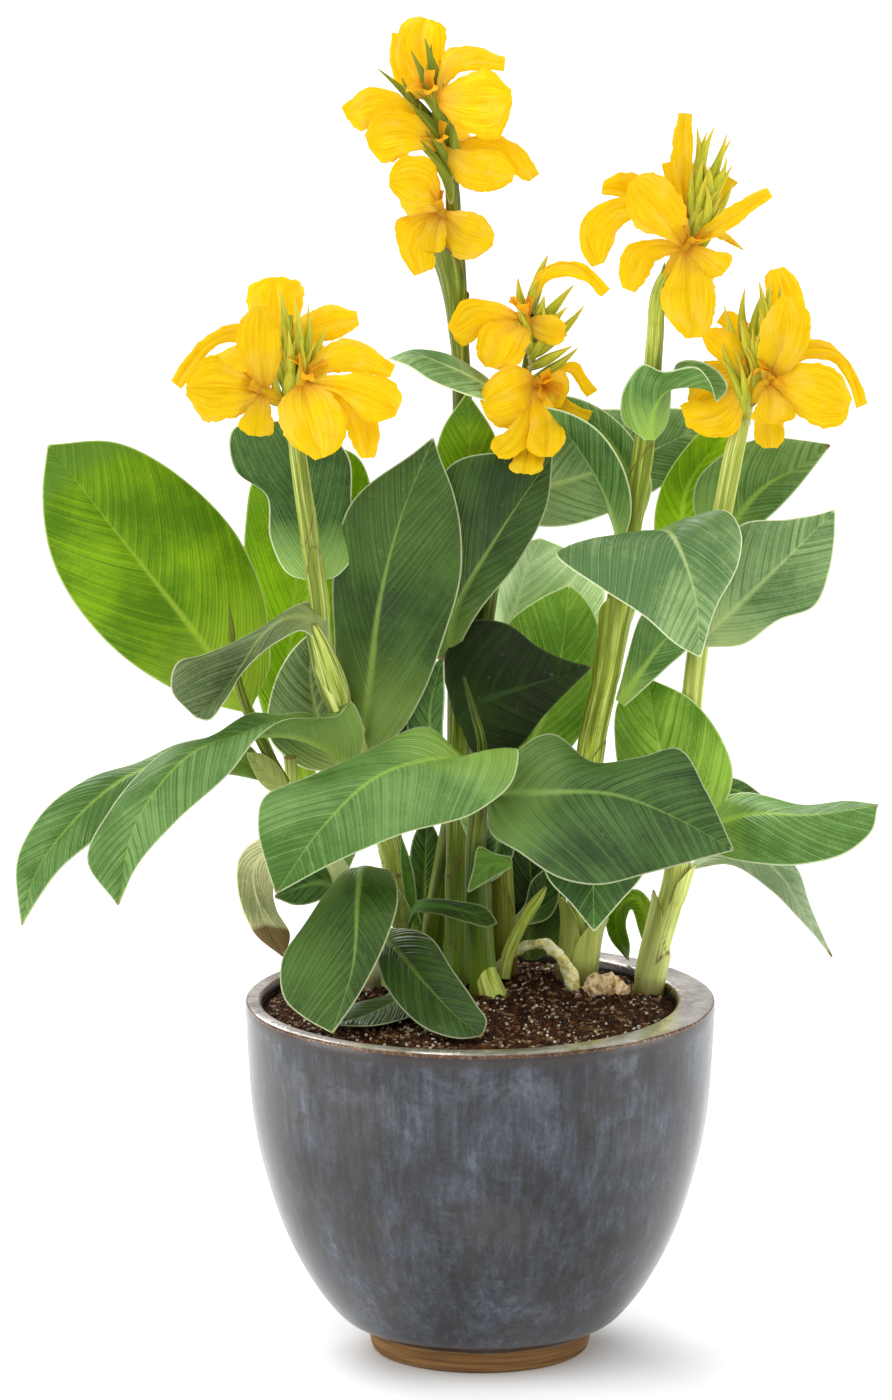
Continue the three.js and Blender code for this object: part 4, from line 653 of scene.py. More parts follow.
def leaf_base(points, radii, length, begin, end, facing, wrap, flare, rows=30, columns=21):
    """A thin sheet that leaves a stem between two shares of its length and flares to a point."""
    stem_line = smooth_line(np.hstack([points, np.reshape(radii, (-1, 1))]))
    found = on_line(stem_line, np.linspace(begin, end, rows))
    centre, radius = found[:, :3], found[:, 3]
    tangent = unit(np.gradient(centre, axis=0))
    side = square_to(np.array([[0.0, 1.0, 0.0]]), tangent)[:, None]
    other = np.cross(tangent, side[:, 0])[:, None]
    v, u = np.linspace(0, 1, rows)[:, None], np.linspace(-1, 1, columns)[None, :]
    narrow = np.sqrt(np.clip(1 - v**2.4, 0.004, 1))
    turn = math.radians(facing) + math.radians(wrap) * u * narrow
    frill = 0.0007 * np.sin(u * 9 + v * 14) * np.abs(u) ** 3
    clear = np.clip(v / 0.2, 0, 1)
    leaving = radius[:, None] * (0.86 + 0.14 * clear) + 0.0010 * clear
    reach = leaving + flare / 1000 * v**2.2 * (1 + 0.3 * u**2) + frill * v
    outward = side * np.cos(turn)[..., None] + other * np.sin(turn)[..., None]
    middle = centre[:, None] + reach[..., None] * outward
    long = np.linalg.norm(centre[-1] - centre[0])
    edge = np.minimum((1 - np.abs(u)) * narrow * math.radians(wrap) * reach, (1 - v) * long * 0.6)
    lip = np.exp(-(edge / 0.0011) ** 2) * (0.55 + 0.45 * np.sin(v * 11 + facing))
    half_thick = np.full(middle.shape[:2], LEAF_BASE_HALF)
    made, faces = thickened(middle, half_thick, half_thick)
    from_foot = (begin + v * (end - begin)) * length + 0 * u
    values = np.stack([from_foot, turn, np.full(turn.shape, begin), lip], 2).reshape(-1, 4)
    return made, faces, np.vstack([values, values])


# The rings of a stem are 5 mm apart. A leaf base ends in a slanting edge, 22 mm up one side and
# down the other, and the stem thickens over the 160 mm below it
RING_STEP = 0.0050
EDGE_SLANT = 0.022
THICKENS_OVER = 0.16
# How far each of the three side buds below a bud stands down the stem from it
SIDE_BUD_DROPS = (0.004, 0.014, 0.026)

for name, stations, bud_tips in STEMS:
    points = placed(stations)
    points = np.vstack([points[:1] - (0, 0, ROOT_DEPTH), points])
    radii = radii_of(stations[:1] + stations)
    length = length_of(points)
    lips = SHEATHS[name]

    def slanting(end, facing, angle):
        return end + EDGE_SLANT / length * np.cos(angle - math.radians(facing))

    def leaf_bases(v, a):
        thicker = 0
        for end, facing, rise in lips:
            edge = slanting(end, facing, a)
            fade = np.clip((v - (edge - THICKENS_OVER / length)) / (THICKENS_OVER / length), 0.25, 1)
            thicker = thicker + rise / 1000 * fade * np.clip((edge - v) * length / 0.003, 0, 1)
        return thicker * 0.6 + 0.00025 * np.cos(9 * a)

    made, faces, where = round_tube(points, radii * 0.94, int(length / RING_STEP), 32, leaf_bases)
    seam_near = np.zeros(len(made))
    for end, facing, rise in lips:
        past = (where[:, 0] - slanting(end, facing, where[:, 1])) * length
        seam_near = np.maximum(seam_near, np.exp(-((past + 0.001) / 0.0022) ** 2))
    skin = STALK_SKINS[name]
    stem = make_piece(name + "_stalk", made, faces, skin, seam=seam_near,
                      spot=np.stack([where[:, 0] * length, where[:, 1], where[:, 0]], 1))
    stands_for(stem, "stem", name)
    if name in LEAF_BASES:
        rises = [stations[0][1] - ROOT_DEPTH * 1000] + [station[1] for station in stations]
        shares = np.r_[0, np.cumsum(np.linalg.norm(np.diff(points, axis=0), axis=1))] / length
        wrapped = [leaf_base(points, radii, length, *np.interp(base[:2], rises, shares), *base[2:])
                   for base in LEAF_BASES[name]]
        made, faces, values = joined(wrapped)
        bases = make_piece(name + "_leaf_bases", made, faces, skin, spot=values[:, :3], seam=values[:, 3])
        stands_for(bases, "stem")
    if not bud_tips:
        continue
    path = on_line(smooth_line(points[1:]), np.linspace(0, 1, 121))
    grown = []
    for tip in placed(bud_tips):
        wanted = tip - (0, 0, BUD_LENGTHS[name])
        root = path[np.argmin(np.linalg.norm(path - wanted, axis=1))]
        grown.append(spindle(root, tip - (0, 0.004, 0), rng.uniform(0.0054, 0.0064)))
        for drop in SIDE_BUD_DROPS:
            side = np.array([
                rng.uniform(-0.010, 0.010), rng.uniform(-0.024, -0.010), -rng.uniform(0.0, 0.012) - drop])
            grown.append(spindle(root - (0, 0.006, drop), root + (tip - root) * 0.76 + side,
                                 rng.uniform(0.0044, 0.0056)))
    made, faces, values = joined(grown)
    bud_skin = SHADED_BUD_SKIN if name == "stem_tall" else BUD_SKIN
    buds = make_piece(name + "_buds", made, faces, bud_skin, spot=values)
    stands_for(buds, "stem", name)

# Young shoots and a cut stub that stand between the stems: the stalk whose skin they share, and
# their stations
YOUNG_SHOOTS = {
    "shoot_behind_left_leaves": ("stem_tall", [
        [-195, 562, -6, 5.5], [-222, 610, -14, 5], [-242, 665, -16, 4], [-247, 698, -14, 2.2],
        [-248, 711, -13, 3.4], [-249, 721, -13, 2.6], [-251, 740, -12, 0.7]]),
    "furled_spear": ("stem_far_right", [
        [-144, 634, -16, 3.4], [-149, 648, -18, 3.6], [-156, 664, -20, 3.4], [-161, 674, -22, 3.4],
        [-164, 681, -22, 1]]),
    "cut_stub": ("stem_left", [[-188, 556, 12, 6], [-189, 574, 11, 6.4], [-190, 588, 10, 6.6]]),
    "pale_sheath_behind": ("stem_right", [
        [24, 368, 52, 6.5], [28, 390, 50, 6.5], [37, 412, 46, 6], [48, 432, 46, 6], [58, 446, 44, 5],
        [66, 458, 42, 1.5]]),
    "skirt_front": ("stem_right", [
        [17, 338, -8, 16], [12, 352, -6, 14], [7, 366, -4, 12.5], [3, 382, -1, 10.5]]),
    "swollen_sheath": ("stem_left", [
        [-142, 628, 14, 9], [-141, 642, 2, 12], [-146, 662, -12, 13], [-153, 682, -22, 11.5],
        [-161, 704, -22, 8.5], [-168, 720, -20, 5.5]]),
}
for name, (like, stations) in YOUNG_SHOOTS.items():
    points = placed(stations)
    made, faces, where = round_tube(points, radii_of(stations), 50, 14)
    from_foot = where[:, 0] * length_of(points) + 0.2
    shoot = make_piece(name, made, faces, STALK_SKINS[like], seam=np.clip(where[:, 0] * 9 - 8.3, 0, 0.7),
                       spot=np.stack([from_foot, where[:, 1], where[:, 0]], 1))
    stands_for(shoot, "stem")

# ---- Leaves ----
# Paddle-shaped blades, about half a millimetre thick, with a thick pale rib and side veins that
# sweep from the rib to the cream margin. The blade is puckered between the veins. Waxy above,
# duller below, and thin enough for light to show through.

# Each leaf: the share of its length that is bare stalk, its rib from foot to tip, and its left and
# its right margin
LEAVES = [
  ["leaf_left_upright", 0.2,
    [[-198, 560, -6], [-235, 640, 5], [-280, 705, 15], [-350, 795, 20], [-432, 900, 10]],
    [[-268, 640, 14], [-315, 660, 5], [-385, 715, 0], [-428, 785, 0], [-438, 850, 5]],
    [[-210, 680, 30], [-212, 725, 45], [-240, 805, 55], [-295, 865, 50], [-365, 903, 35]]],
  ["leaf_left_back", 0.16,
    [[-150, 492, 15], [-185, 600, 50], [-190, 700, 75], [-180, 800, 82], [-172, 905, 80]],
    [[-220, 640, 60], [-232, 740, 75], [-235, 820, 80], [-225, 870, 82]],
    [[-150, 640, 70], [-125, 740, 85], [-106, 840, 88], [-122, 888, 86]]],
  ["leaf_left_collar", 0,
    [[-164, 765, 2], [-172, 820, 18], [-185, 880, 25], [-195, 925, 22]],
    [[-190, 770, 8], [-210, 805, 18], [-214, 850, 25], [-245, 875, 20], [-248, 915, 15]],
    [[-150, 766, 5], [-128, 785, 12], [-128, 845, 20], [-132, 890, 22], [-160, 918, 22]]],
  ["leaf_left_folded", 0.26,
    [[-135, 645, 0], [-152, 695, -14], [-163, 716, -20], [-176, 727, -26], [-194, 727, -34],
      [-215, 712, -45], [-240, 676, -62], [-262, 648, -75], [-286, 628, -85]],
    [[-180, 714, -34], [-200, 704, -46], [-220, 690, -64], [-240, 668, -80], [-256, 642, -90],
      [-272, 624, -90]],
    [[-156, 738, -14], [-172, 744, -14], [-190, 738, -18], [-212, 722, -28], [-245, 704, -40],
      [-280, 689, -52], [-303, 682, -62], [-309, 656, -72]]],
  ["leaf_left_grey", 0,
    [[-138, 575, 42], [-160, 620, 45], [-170, 670, 42], [-166, 715, 38]],
    [[-178, 578, 38], [-210, 605, 40], [-208, 655, 40], [-188, 695, 40]],
    [[-120, 600, 50], [-128, 650, 46], [-146, 695, 42]]],
  ["leaf_left_drooping", 0,
    [[-130, 580, 14], [-150, 593, -6], [-170, 603, -22], [-195, 610, -38], [-218, 610, -52],
      [-290, 590, -105], [-345, 520, -130], [-362, 440, -140]],
    [[-116, 600, 2], [-121, 632, -4], [-129, 644, -8], [-140, 631, -22], [-165, 627, -44],
      [-193, 626, -62], [-220, 609, -84], [-250, 572, -112], [-305, 522, -138], [-343, 478, -148]],
    [[-145, 608, 18], [-170, 632, 4], [-200, 631, -14], [-228, 633, -32], [-262, 612, -52],
      [-320, 590, -86], [-370, 535, -113], [-393, 485, -130]]],
  ["leaf_far_left_drooping", 0,
    [[-205, 566, -4], [-260, 590, -20], [-340, 575, -50], [-410, 520, -80], [-445, 470, -90],
      [-458, 420, -95]],
    [[-260, 570, -40], [-330, 545, -80], [-385, 505, -95], [-420, 475, -100], [-445, 440, -98]],
    [[-240, 605, 0], [-300, 602, -20], [-350, 580, -35], [-395, 565, -50], [-440, 530, -65],
      [-463, 485, -80], [-462, 442, -90]]],
  ["leaf_centre_upright", 0,
    [[-118, 592, 22], [-110, 665, 12], [-100, 745, 0], [-80, 825, -5], [-47, 907, 0]],
    [[-134, 625, 32], [-145, 695, 25], [-146, 775, 20], [-130, 840, 15], [-62, 896, 3]],
    [[-88, 605, 15], [-60, 645, 10], [-40, 695, 5], [-18, 785, 5], [-27, 855, 5], [-40, 888, 3]]],
  ["leaf_centre_dark", 0,
    [[-34, 680, 62], [-24, 735, 30], [18, 810, 24], [72, 890, 28]],
    [[-60, 720, 45], [-62, 790, 30], [-50, 850, 22], [-27, 882, 20], [25, 893, 24]],
    [[-5, 728, 30], [40, 785, 28], [68, 843, 26]]],
  ["leaf_tall_stem", 0,
    [[-14, 745, 62], [-12, 800, 55], [-10, 870, 50], [-13, 952, 52]],
    [[-40, 800, 58], [-47, 870, 55], [-38, 915, 54]],
    [[15, 800, 58], [26, 870, 56], [14, 912, 54]]],
  ["leaf_middle_arching", 0,
    [[34, 925, 80], [20, 948, 68], [-5, 966, 50], [-35, 980, 30], [-65, 990, 10], [-92, 986, -8]],
    [[15, 940, 42], [-20, 952, 10], [-50, 965, -8], [-75, 980, -14]],
    [[12, 962, 76], [-10, 978, 66], [-30, 991, 56], [-62, 996, 38]]],
  ["leaf_back_level", 0.08,
    [[-8, 832, 92], [35, 850, 114], [80, 862, 122], [150, 885, 135], [235, 925, 150]],
    [[20, 895, 118], [60, 930, 125], [110, 936, 135], [160, 936, 145], [205, 936, 150]],
    [[30, 825, 112], [75, 818, 108], [130, 832, 118], [190, 865, 138]]],
  ["leaf_right_arching", 0,
    [[140, 797, 60], [126, 845, 50], [100, 893, 35], [66, 938, 15]],
    [[130, 842, 78], [108, 890, 66], [78, 925, 46]],
    [[152, 840, 42], [140, 885, 30], [112, 920, 22], [84, 934, 16]]],
  ["leaf_right_behind", 0,
    [[156, 822, 72], [148, 870, 84], [122, 915, 84], [78, 950, 72]],
    [[130, 845, 94], [110, 890, 98], [86, 925, 90]],
    [[172, 860, 90], [160, 896, 92], [126, 933, 88], [100, 946, 82]]],
  ["leaf_right_collar", 0,
    [[170, 905, 40], [176, 937, 34], [188, 953, 24], [210, 957, 14], [232, 951, 4],
      [237, 943, 0]],
    [[142, 925, 44], [141, 945, 40], [148, 965, 30], [164, 981, 18], [180, 974, 8],
      [220, 976, -6], [230, 963, -6]],
    [[186, 920, 60], [190, 938, 60], [192, 962, 50], [198, 983, 36], [220, 984, 24],
      [242, 970, 14], [248, 957, 8]]],
  ["leaf_right_bright", 0,
    [[222, 760, 62], [205, 800, 100], [205, 850, 125], [235, 900, 130], [262, 932, 125]],
    [[176, 800, 108], [180, 855, 125], [206, 898, 132], [238, 927, 132]],
    [[228, 800, 100], [246, 850, 115], [262, 898, 118]]],
  ["leaf_far_right_upper", 0,
    [[238, 800, 52], [287, 860, 75], [319, 878, 85], [350, 900, 90]],
    [[216, 825, 72], [217, 865, 84], [240, 889, 90], [285, 907, 102], [322, 905, 102]],
    [[280, 820, 60], [310, 848, 70], [333, 876, 78]]],
  ["leaf_far_right_wide", 0,
    [[222, 702, 38], [270, 750, 20], [320, 800, 10], [355, 835, 5]],
    [[232, 765, 36], [262, 821, 30], [310, 826, 22], [342, 832, 12]],
    [[262, 700, 18], [300, 725, 5], [334, 738, 0], [350, 775, -2], [355, 808, 0]]],
  ["leaf_right_hanging", 0,
    [[152, 790, 44], [180, 812, 10], [195, 805, -40], [215, 750, -75], [220, 688, -90]],
    [[200, 822, 25], [250, 832, 0], [262, 810, -25], [258, 780, -45], [235, 735, -70]],
    [[118, 797, 22], [76, 791, -15], [120, 757, -50], [165, 728, -70], [200, 698, -85]]],
  ["leaf_right_low", 0,
    [[140, 642, 52], [162, 675, 42], [188, 708, 28], [212, 728, 18]],
    [[148, 690, 50], [165, 735, 38], [192, 752, 26]],
    [[160, 652, 44], [190, 680, 34], [210, 700, 24]]],
  ["leaf_right_bright_low", 0,
    [[200, 505, 46], [190, 560, 50], [175, 620, 60], [168, 667, 66]],
    [[152, 540, 76], [135, 600, 84], [142, 650, 76]],
    [[238, 530, 40], [253, 570, 36], [240, 610, 36], [212, 645, 38]]],
  ["leaf_front_right", 0,
    [[8, 548, -20], [60, 552, -50], [135, 550, -85], [200, 525, -110], [253, 495, -125]],
    [[22, 578, -14], [70, 610, -8], [115, 584, -28], [160, 588, -45], [197, 597, -62],
      [226, 555, -95]],
    [[10, 515, -48], [40, 492, -90], [85, 465, -125], [115, 460, -135], [170, 472, -140],
      [218, 485, -136]]],
  ["leaf_front_left", 0,
    [[0, 577, -18], [-30, 585, -45], [-100, 570, -95], [-160, 515, -135], [-204, 452, -160]],
    [[37, 597, -36], [33, 565, -62], [0, 535, -90], [-80, 510, -128], [-150, 480, -150]],
    [[-20, 590, -15], [-50, 617, -12], [-110, 595, -34], [-175, 567, -72], [-218, 545, -105],
      [-222, 515, -130], [-214, 480, -150]]],
  ["leaf_centre_shaded", 0,
    [[-24, 628, 58], [5, 645, 40], [50, 660, 25], [111, 678, 12]],
    [[-36, 680, 55], [-10, 724, 46], [25, 722, 36], [60, 697, 24], [90, 684, 16]],
    [[0, 588, 44], [30, 592, 35], [65, 630, 22], [90, 656, 15]]],
  ["leaf_back_pale", 0,
    [[14, 690, 104], [34, 735, 106], [48, 780, 108], [62, 807, 110]],
    [[12, 730, 122], [18, 775, 124], [32, 798, 118]],
    [[80, 700, 112], [118, 725, 116], [125, 755, 116], [92, 793, 114]]],
  ["leaf_middle_upright", 0,
    [[6, 540, 80], [45, 590, 75], [72, 650, 72], [84, 710, 70], [89, 760, 68]],
    [[18, 610, 70], [16, 670, 66], [28, 722, 64], [62, 748, 65]],
    [[66, 570, 84], [106, 620, 86], [118, 680, 84], [115, 730, 78], [100, 752, 72]]],
  ["leaf_far_right_level", 0,
    [[212, 508, 48], [238, 522, 30], [275, 531, 5], [330, 530, -25], [398, 540, -50]],
    [[228, 538, 50], [260, 552, 40], [320, 541, 16], [368, 544, -14]],
    [[238, 490, 10], [280, 481, -30], [320, 480, -50], [375, 497, -62], [393, 515, -60]]],
  ["leaf_far_right_thin", 0,
    [[210, 478, 72], [260, 500, 70], [300, 470, 52], [325, 430, 34], [352, 388, 20]],
    [[270, 508, 86], [317, 477, 66], [328, 445, 50], [342, 412, 32]],
    [[250, 480, 55], [290, 455, 40], [320, 425, 26], [342, 400, 22]]],
  ["leaf_front_hanging", 0,
    [[108, 560, 54], [112, 545, 0], [113, 480, -50], [114, 414, -70]],
    [[150, 528, 0], [165, 475, -38], [138, 440, -58]],
    [[76, 526, 0], [66, 470, -38], [92, 440, -58]]],
  ["leaf_pot_left", 0,
    [[-136, 462, 6], [-122, 478, -35], [-123, 440, -90], [-127, 380, -135], [-148, 312, -172]],
    [[-88, 474, -34], [-82, 445, -75], [-100, 390, -118], [-122, 348, -150]],
    [[-150, 458, -48], [-180, 415, -85], [-199, 380, -112], [-195, 345, -138], [-174, 326, -158]]],
  ["leaf_pot_front", 0,
    [[-112, 404, 16], [-90, 400, -40], [-52, 358, -100], [-20, 325, -138], [2, 309, -158]],
    [[-85, 417, -25], [-50, 408, -60], [-25, 372, -95], [-3, 340, -127], [7, 322, -149]],
    [[-104, 390, -66], [-95, 360, -105], [-75, 333, -132], [-50, 314, -154], [-18, 306, -163]]],
  ["leaf_on_soil", 0,
    [[-98, 366, 26], [-80, 350, -25], [-112, 331, -85], [-150, 320, -124]],
    [[-66, 330, -95], [-105, 319, -125]],
    [[-92, 352, -18], [-128, 340, -56]]],
  ["leaf_dried", 0,
    [[-156, 484, -8], [-200, 500, -20], [-225, 480, -40], [-218, 430, -50], [-196, 388, -55]],
    [[-190, 486, -4], [-205, 462, -18], [-204, 436, -34], [-190, 410, -44]],
    [[-212, 510, -34], [-240, 490, -50], [-242, 450, -60], [-226, 412, -62]]],
  ["leaf_small_oval", 0.4,
    [[-76, 408, 46], [-66, 436, 10], [-52, 440, -30], [-22, 436, -50], [17, 422, -60]],
    [[-45, 446, -28], [-20, 444, -42], [8, 436, -54]],
    [[-40, 430, -42], [-12, 422, -58], [10, 418, -63]]],
]

# Small leaves that grow from a stem or a shoot: that stem, then the same values as a leaf
STEM_LEAVES = [
  ["shoot_front", 0.2,
    [[-4, 500, -4], [-30, 565, 15], [-50, 620, 18], [-37, 690, 15]],
    [[-66, 590, 22], [-72, 640, 20]],
    [[-36, 600, 14], [-35, 650, 12]]],
  ["shoot_left", 0.2,
    [[-140, 470, 10], [-110, 540, 40], [-85, 600, 30], [-72, 655, 24]],
    [[-108, 590, 32], [-98, 630, 28]],
    [[-66, 585, 26], [-58, 625, 22]]],
  ["stem_tall", 0.3,
    [[-18, 530, 60], [16, 520, 30], [14, 485, 8], [-12, 453, -8]],
    [[34, 500, 22], [26, 475, 6]],
    [[6, 528, 22], [0, 495, 8]]],
  ["shoot_left", 0.1,
    [[-135, 460, 14], [-165, 462, -12], [-205, 448, -30]],
    [[-152, 448, -8], [-186, 440, -24]],
    [[-155, 480, -4], [-190, 470, -22]]],
  ["shoot_back", 0.1,
    [[28, 420, 84], [48, 425, 104], [62, 450, 112], [68, 478, 112]],
    [[44, 440, 110], [52, 465, 112]],
    [[72, 430, 108], [80, 455, 110]]],
  ["stem_far_right", 0.1,
    [[206, 530, 60], [235, 555, 78], [285, 547, 82]],
    [[222, 566, 88], [258, 566, 90]],
    [[236, 540, 72], [264, 544, 76]]],
  ["stem_far_right", 0.1,
    [[172, 378, 68], [168, 425, 84], [156, 448, 98], [138, 436, 114], [140, 402, 134],
      [148, 385, 146]],
    [[160, 410, 86], [152, 436, 96], [146, 424, 108], [150, 400, 126]],
    [[177, 430, 86], [158, 456, 104], [130, 442, 120], [129, 408, 140]]],
]

# The blade is puckered in ridges 14 mm apart. The finest veins are about 2 mm apart; they are
# drawn three times as far apart so that they show
RIDGE = 0.0140
VEIN = 0.0060
SHARES = np.array([
    0, 0.018, 0.04, 0.065, 0.1, 0.14, 0.19, 0.25, 0.31, 0.37, 0.43, 0.49, 0.55, 0.61, 0.67, 0.73, 0.79,
    0.85, 0.91, 0.96, 1.0])
SHARES = np.r_[-SHARES[:0:-1], SHARES]


def sheet(rib, left, right, start, foot_half, tip_half, arch, rows, shares=SHARES):
    """Middle of a blade: points row by row across, with run along and across and distance to the margin."""
    spine = smooth_line(rib)
    along = unit(np.gradient(spine[0], spine[1], axis=0))
    foot, tip = on_line(spine, [start, 1.0])
    foot_along = unit(on_line((along, spine[1]), [start]))[0]
    tip_along = along[-1]
    side = unit(square_to((right[0] - foot)[None], foot_along)[0]
                - square_to((left[0] - foot)[None], foot_along)[0])
    tip_side = square_to((right[-1] - left[-1])[None], tip_along)[0]
    left_edge = smooth_line(np.vstack([foot - side * foot_half, left, tip - tip_side * tip_half]))
    right_edge = smooth_line(np.vstack([foot + side * foot_half, right, tip + tip_side * tip_half]))
    stalk_rows = int(round(rows * start * 0.8))
    v = np.linspace(0, 1, rows - stalk_rows)
    u = start + (1 - start) * v
    centre = on_line(spine, u)
    heading = unit(on_line((along, spine[1]), u))
    to_left = on_line(left_edge, v) - centre
    to_right = on_line(right_edge, v) - centre
    if stalk_rows:
        low = np.linspace(0, start, stalk_rows, endpoint=False)
        low_heading = unit(on_line((along, spine[1]), low))
        out = square_to(np.repeat(side[None], stalk_rows, 0), low_heading) * foot_half
        centre, heading = np.vstack([on_line(spine, low), centre]), np.vstack([low_heading, heading])
        to_left, to_right = np.vstack([-out, to_left]), np.vstack([out, to_right])
        v = np.r_[np.full(stalk_rows, 0.0), v]
        u = np.r_[low, u]
    up = unit(np.cross(to_right - to_left, heading))
    share = np.abs(shares)
    reach = np.where(shares[None, :, None] < 0, to_left[:, None], to_right[:, None])
    width = np.linalg.norm(reach, axis=2)
    middle = (centre[:, None] + reach * share[None, :, None]
              + up[:, None] * (arch * width * 4 * share * (1 - share))[..., None])
    run = np.repeat((u * spine[1][-1])[:, None], len(share), 1)
    across = np.sign(shares) * share * width
    edge = np.minimum((1 - share) * width, np.abs(run[-1:] - run) * 0.45 + 0.0004)
    return middle, run, across, edge, np.repeat(v[:, None], len(share), 1)


def leaf_material(name, dark, light, vein, rib, gloss, through, cream=0.5, tip=None):
    """Living leaf: colours of the blade between and on the veins, of the side veins and the rib, how
    glossy it is, how much light it lets through, how cream its margin is, and the colour of a painted shadow
    over the tip and outer blade."""
    made, t = new_material(name)
    at = add(t, "TexCoord").outputs["Object"]
    spot = add(t, "Attribute", attribute_name="spot").outputs["Vector"]
    marks = add(t, "Attribute", attribute_name="marks").outputs["Vector"]
    edge = add(t, "Attribute", attribute_name="edge").outputs["Fac"]
    lightness = add(t, "Attribute", attribute_name="lightness").outputs["Fac"]
    phase, across, share = add(t, "SeparateXYZ", {0: spot}).outputs
    dry_from, underside, _ = add(t, "SeparateXYZ", {0: marks}).outputs
    which = add(t, "VectorMath", {0: marks, 1: (0, 0, 1)}, operation="MULTIPLY")
    out = add(t, "Math", {0: across}, operation="ABSOLUTE")

    def stripes(spacing, stretch, detail):
        """Uneven stripes along the side veins: how far apart, and how fast they change along one."""
        where = add(t, "VectorMath", {0: spot, 1: (1 / spacing, stretch, 0), 2: which},
                    operation="MULTIPLY_ADD")
        return add(t, "TexNoise", {"Vector": where, "Scale": 1.0, "Detail": detail, "Roughness": 0.55})

    def even_lines(spacing):
        """Lines along the side veins at an even distance, but for a slow wander."""
        turns = add(t, "Math", {0: shifted, 1: FULL_TURN / spacing}, operation="MULTIPLY")
        return add(t, "Math", {0: turns}, operation="SINE")

    shifted = summed(t, (phase, 1), (stripes(0.035, 3.0, 1.0), 0.020))
    fine, broad = even_lines(VEIN), even_lines(RIDGE)
    bands, threads = stripes(0.013, 5.0, 2.0), stripes(0.0030, 5.0, 2.0)
    wander = add(t, "TexNoise", {"Vector": at, "Scale": 14.0, "Detail": 3.0})
    cloud = add(t, "TexNoise", {"Vector": at, "Scale": 9.0, "Detail": 7.0, "Roughness": 0.6})
    speckle = add(t, "TexNoise", {"Vector": at, "Scale": 330.0, "Detail": 3.0})
    powder = add(t, "TexNoise", {"Vector": at, "Scale": 130.0, "Detail": 6.0, "Roughness": 0.75})

    # The blade, with painted shade in the grooves and painted highlights on the crests where it is puckered,
    # and hair-thin veins
    tone = summed(t, (cloud, 1.1), (bands, 0.34), (speckle, 0.20), (threads, 0.20))
    between = painted(t, colour(dark), light, tone, 0.80, 1.06)
    some = add(t, "MapRange", {0: bands, 1: 0.4, 2: 0.6, 3: 0.1, 4: 1.0})
    inner_half = add(t, "MapRange", {0: out, 1: 0.012, 2: 0.07, 3: 1.0, 4: 0.35})
    hollow = add(t, "MapRange", {0: broad, 1: -0.20, 2: -1.0, 4: 0.9})
    some_inside = add(t, "Math", {0: some, 1: inner_half}, operation="MULTIPLY")
    painted_groove_shade = add(t, "Math", {0: some_inside, 1: hollow}, operation="MULTIPLY")
    shade_in_grooves = add(t, "Mix", {0: painted_groove_shade, 6: between, 7: colour(dark)}, data_type="RGBA")
    top = add(t, "MapRange", {0: broad, 1: 0.94, 2: 1.0, 4: 0.45})
    painted_crest_highlight = add(t, "Math", {0: some, 1: top}, operation="MULTIPLY")
    faint = add(t, "MapRange", {0: cloud, 1: 0.35, 2: 0.65, 3: 0.10, 4: 0.46})
    thin_line = add(t, "MapRange", {0: fine, 1: 0.62, 2: 1.0})
    hairline = add(t, "Math", {0: faint, 1: thin_line}, operation="MULTIPLY")
    veins_and_crest_highlights = add(t, "Mix", {0: summed(t, (painted_crest_highlight, 1), (hairline, 1)), 6: shade_in_grooves, 7: colour(vein)},
                 data_type="RGBA")

    # The rib, 11 mm wide at the foot and thin at the tip, and the yellower blade beside it
    half = add(t, "MapRange", {0: share, 2: 0.8, 3: 0.0056, 4: 0.0007})
    in_ribs = add(t, "Math", {0: out, 1: half}, operation="DIVIDE")
    near_rib = add(t, "MapRange", {0: in_ribs, 1: 1.25, 2: 0.35})
    strength = add(t, "MapRange", {0: share, 3: 0.92, 4: 0.3})
    rib_share = add(t, "Math", {0: near_rib, 1: strength}, operation="MULTIPLY")
    yellower = painted(t, veins_and_crest_highlights, rib, share, 0.36, 0.10, 0.7)
    skin_colour = add(t, "Mix", {0: rib_share, 6: yellower, 7: colour(rib)}, data_type="RGBA")

    # A painted shadow over the tip and outer blade, the cream margin, the dried tip, dust, and the duller
    # underside
    # A duller green over the tip and outer blade: painted shadow of a leaf that overlaps it
    if tip:
        far_out = summed(t, (share, 1), (out, 1.6), (cloud, 0.25))
        skin_colour = painted(t, skin_colour, tip, far_out, 0.98, 1.04, 0.6)
    margin = tuple(np.interp(cream, (0, 1), pair) for pair in zip(colour(vein), colour("#f2f0cc")))
    rimmed = painted(t, skin_colour, margin, edge, 0.0019, 0.0010, 0.9)
    toned = add(t, "HueSaturation", {"Color": rimmed, "Value": lightness})
    past_dry = summed(t, (share, 1), (dry_from, -1), (wander, 0.06))
    dried = painted(t, toned, "#7d5c2e", past_dry, 0.025, 0.05, 0.9)
    dusty = painted(t, dried, "#b9c49a", powder, 0.62, 0.74, 0.25)
    dulled = painted(t, dusty, "#8ea55e", underside, 0.0, 1.0, 0.15)
    relief = summed(t, (cloud, 1), (bands, 1.8), (fine, 0.16))
    normal = add(t, "Bump", {"Height": relief, "Strength": 0.85, "Distance": 0.0014})
    sheen = add(t, "MapRange", {0: cloud, 1: 0.35, 2: 0.65, 3: gloss - 0.06, 4: gloss + 0.1})
    skin = add(t, "BsdfPrincipled", {
        "Base Color": dulled, "Roughness": sheen, "IOR": 1.45, "Specular IOR Level": 0.26, "Normal": normal})
    glow_colour = add(t, "Mix", {0: 0.5, 6: dulled, 7: colour("#9dbd14")}, data_type="RGBA")
    glow = add(t, "BsdfTranslucent", {"Color": glow_colour, "Normal": normal})
    add(t, "OutputMaterial", {0: add(t, "MixShader", {0: through, 1: skin, 2: glow})})
    return made
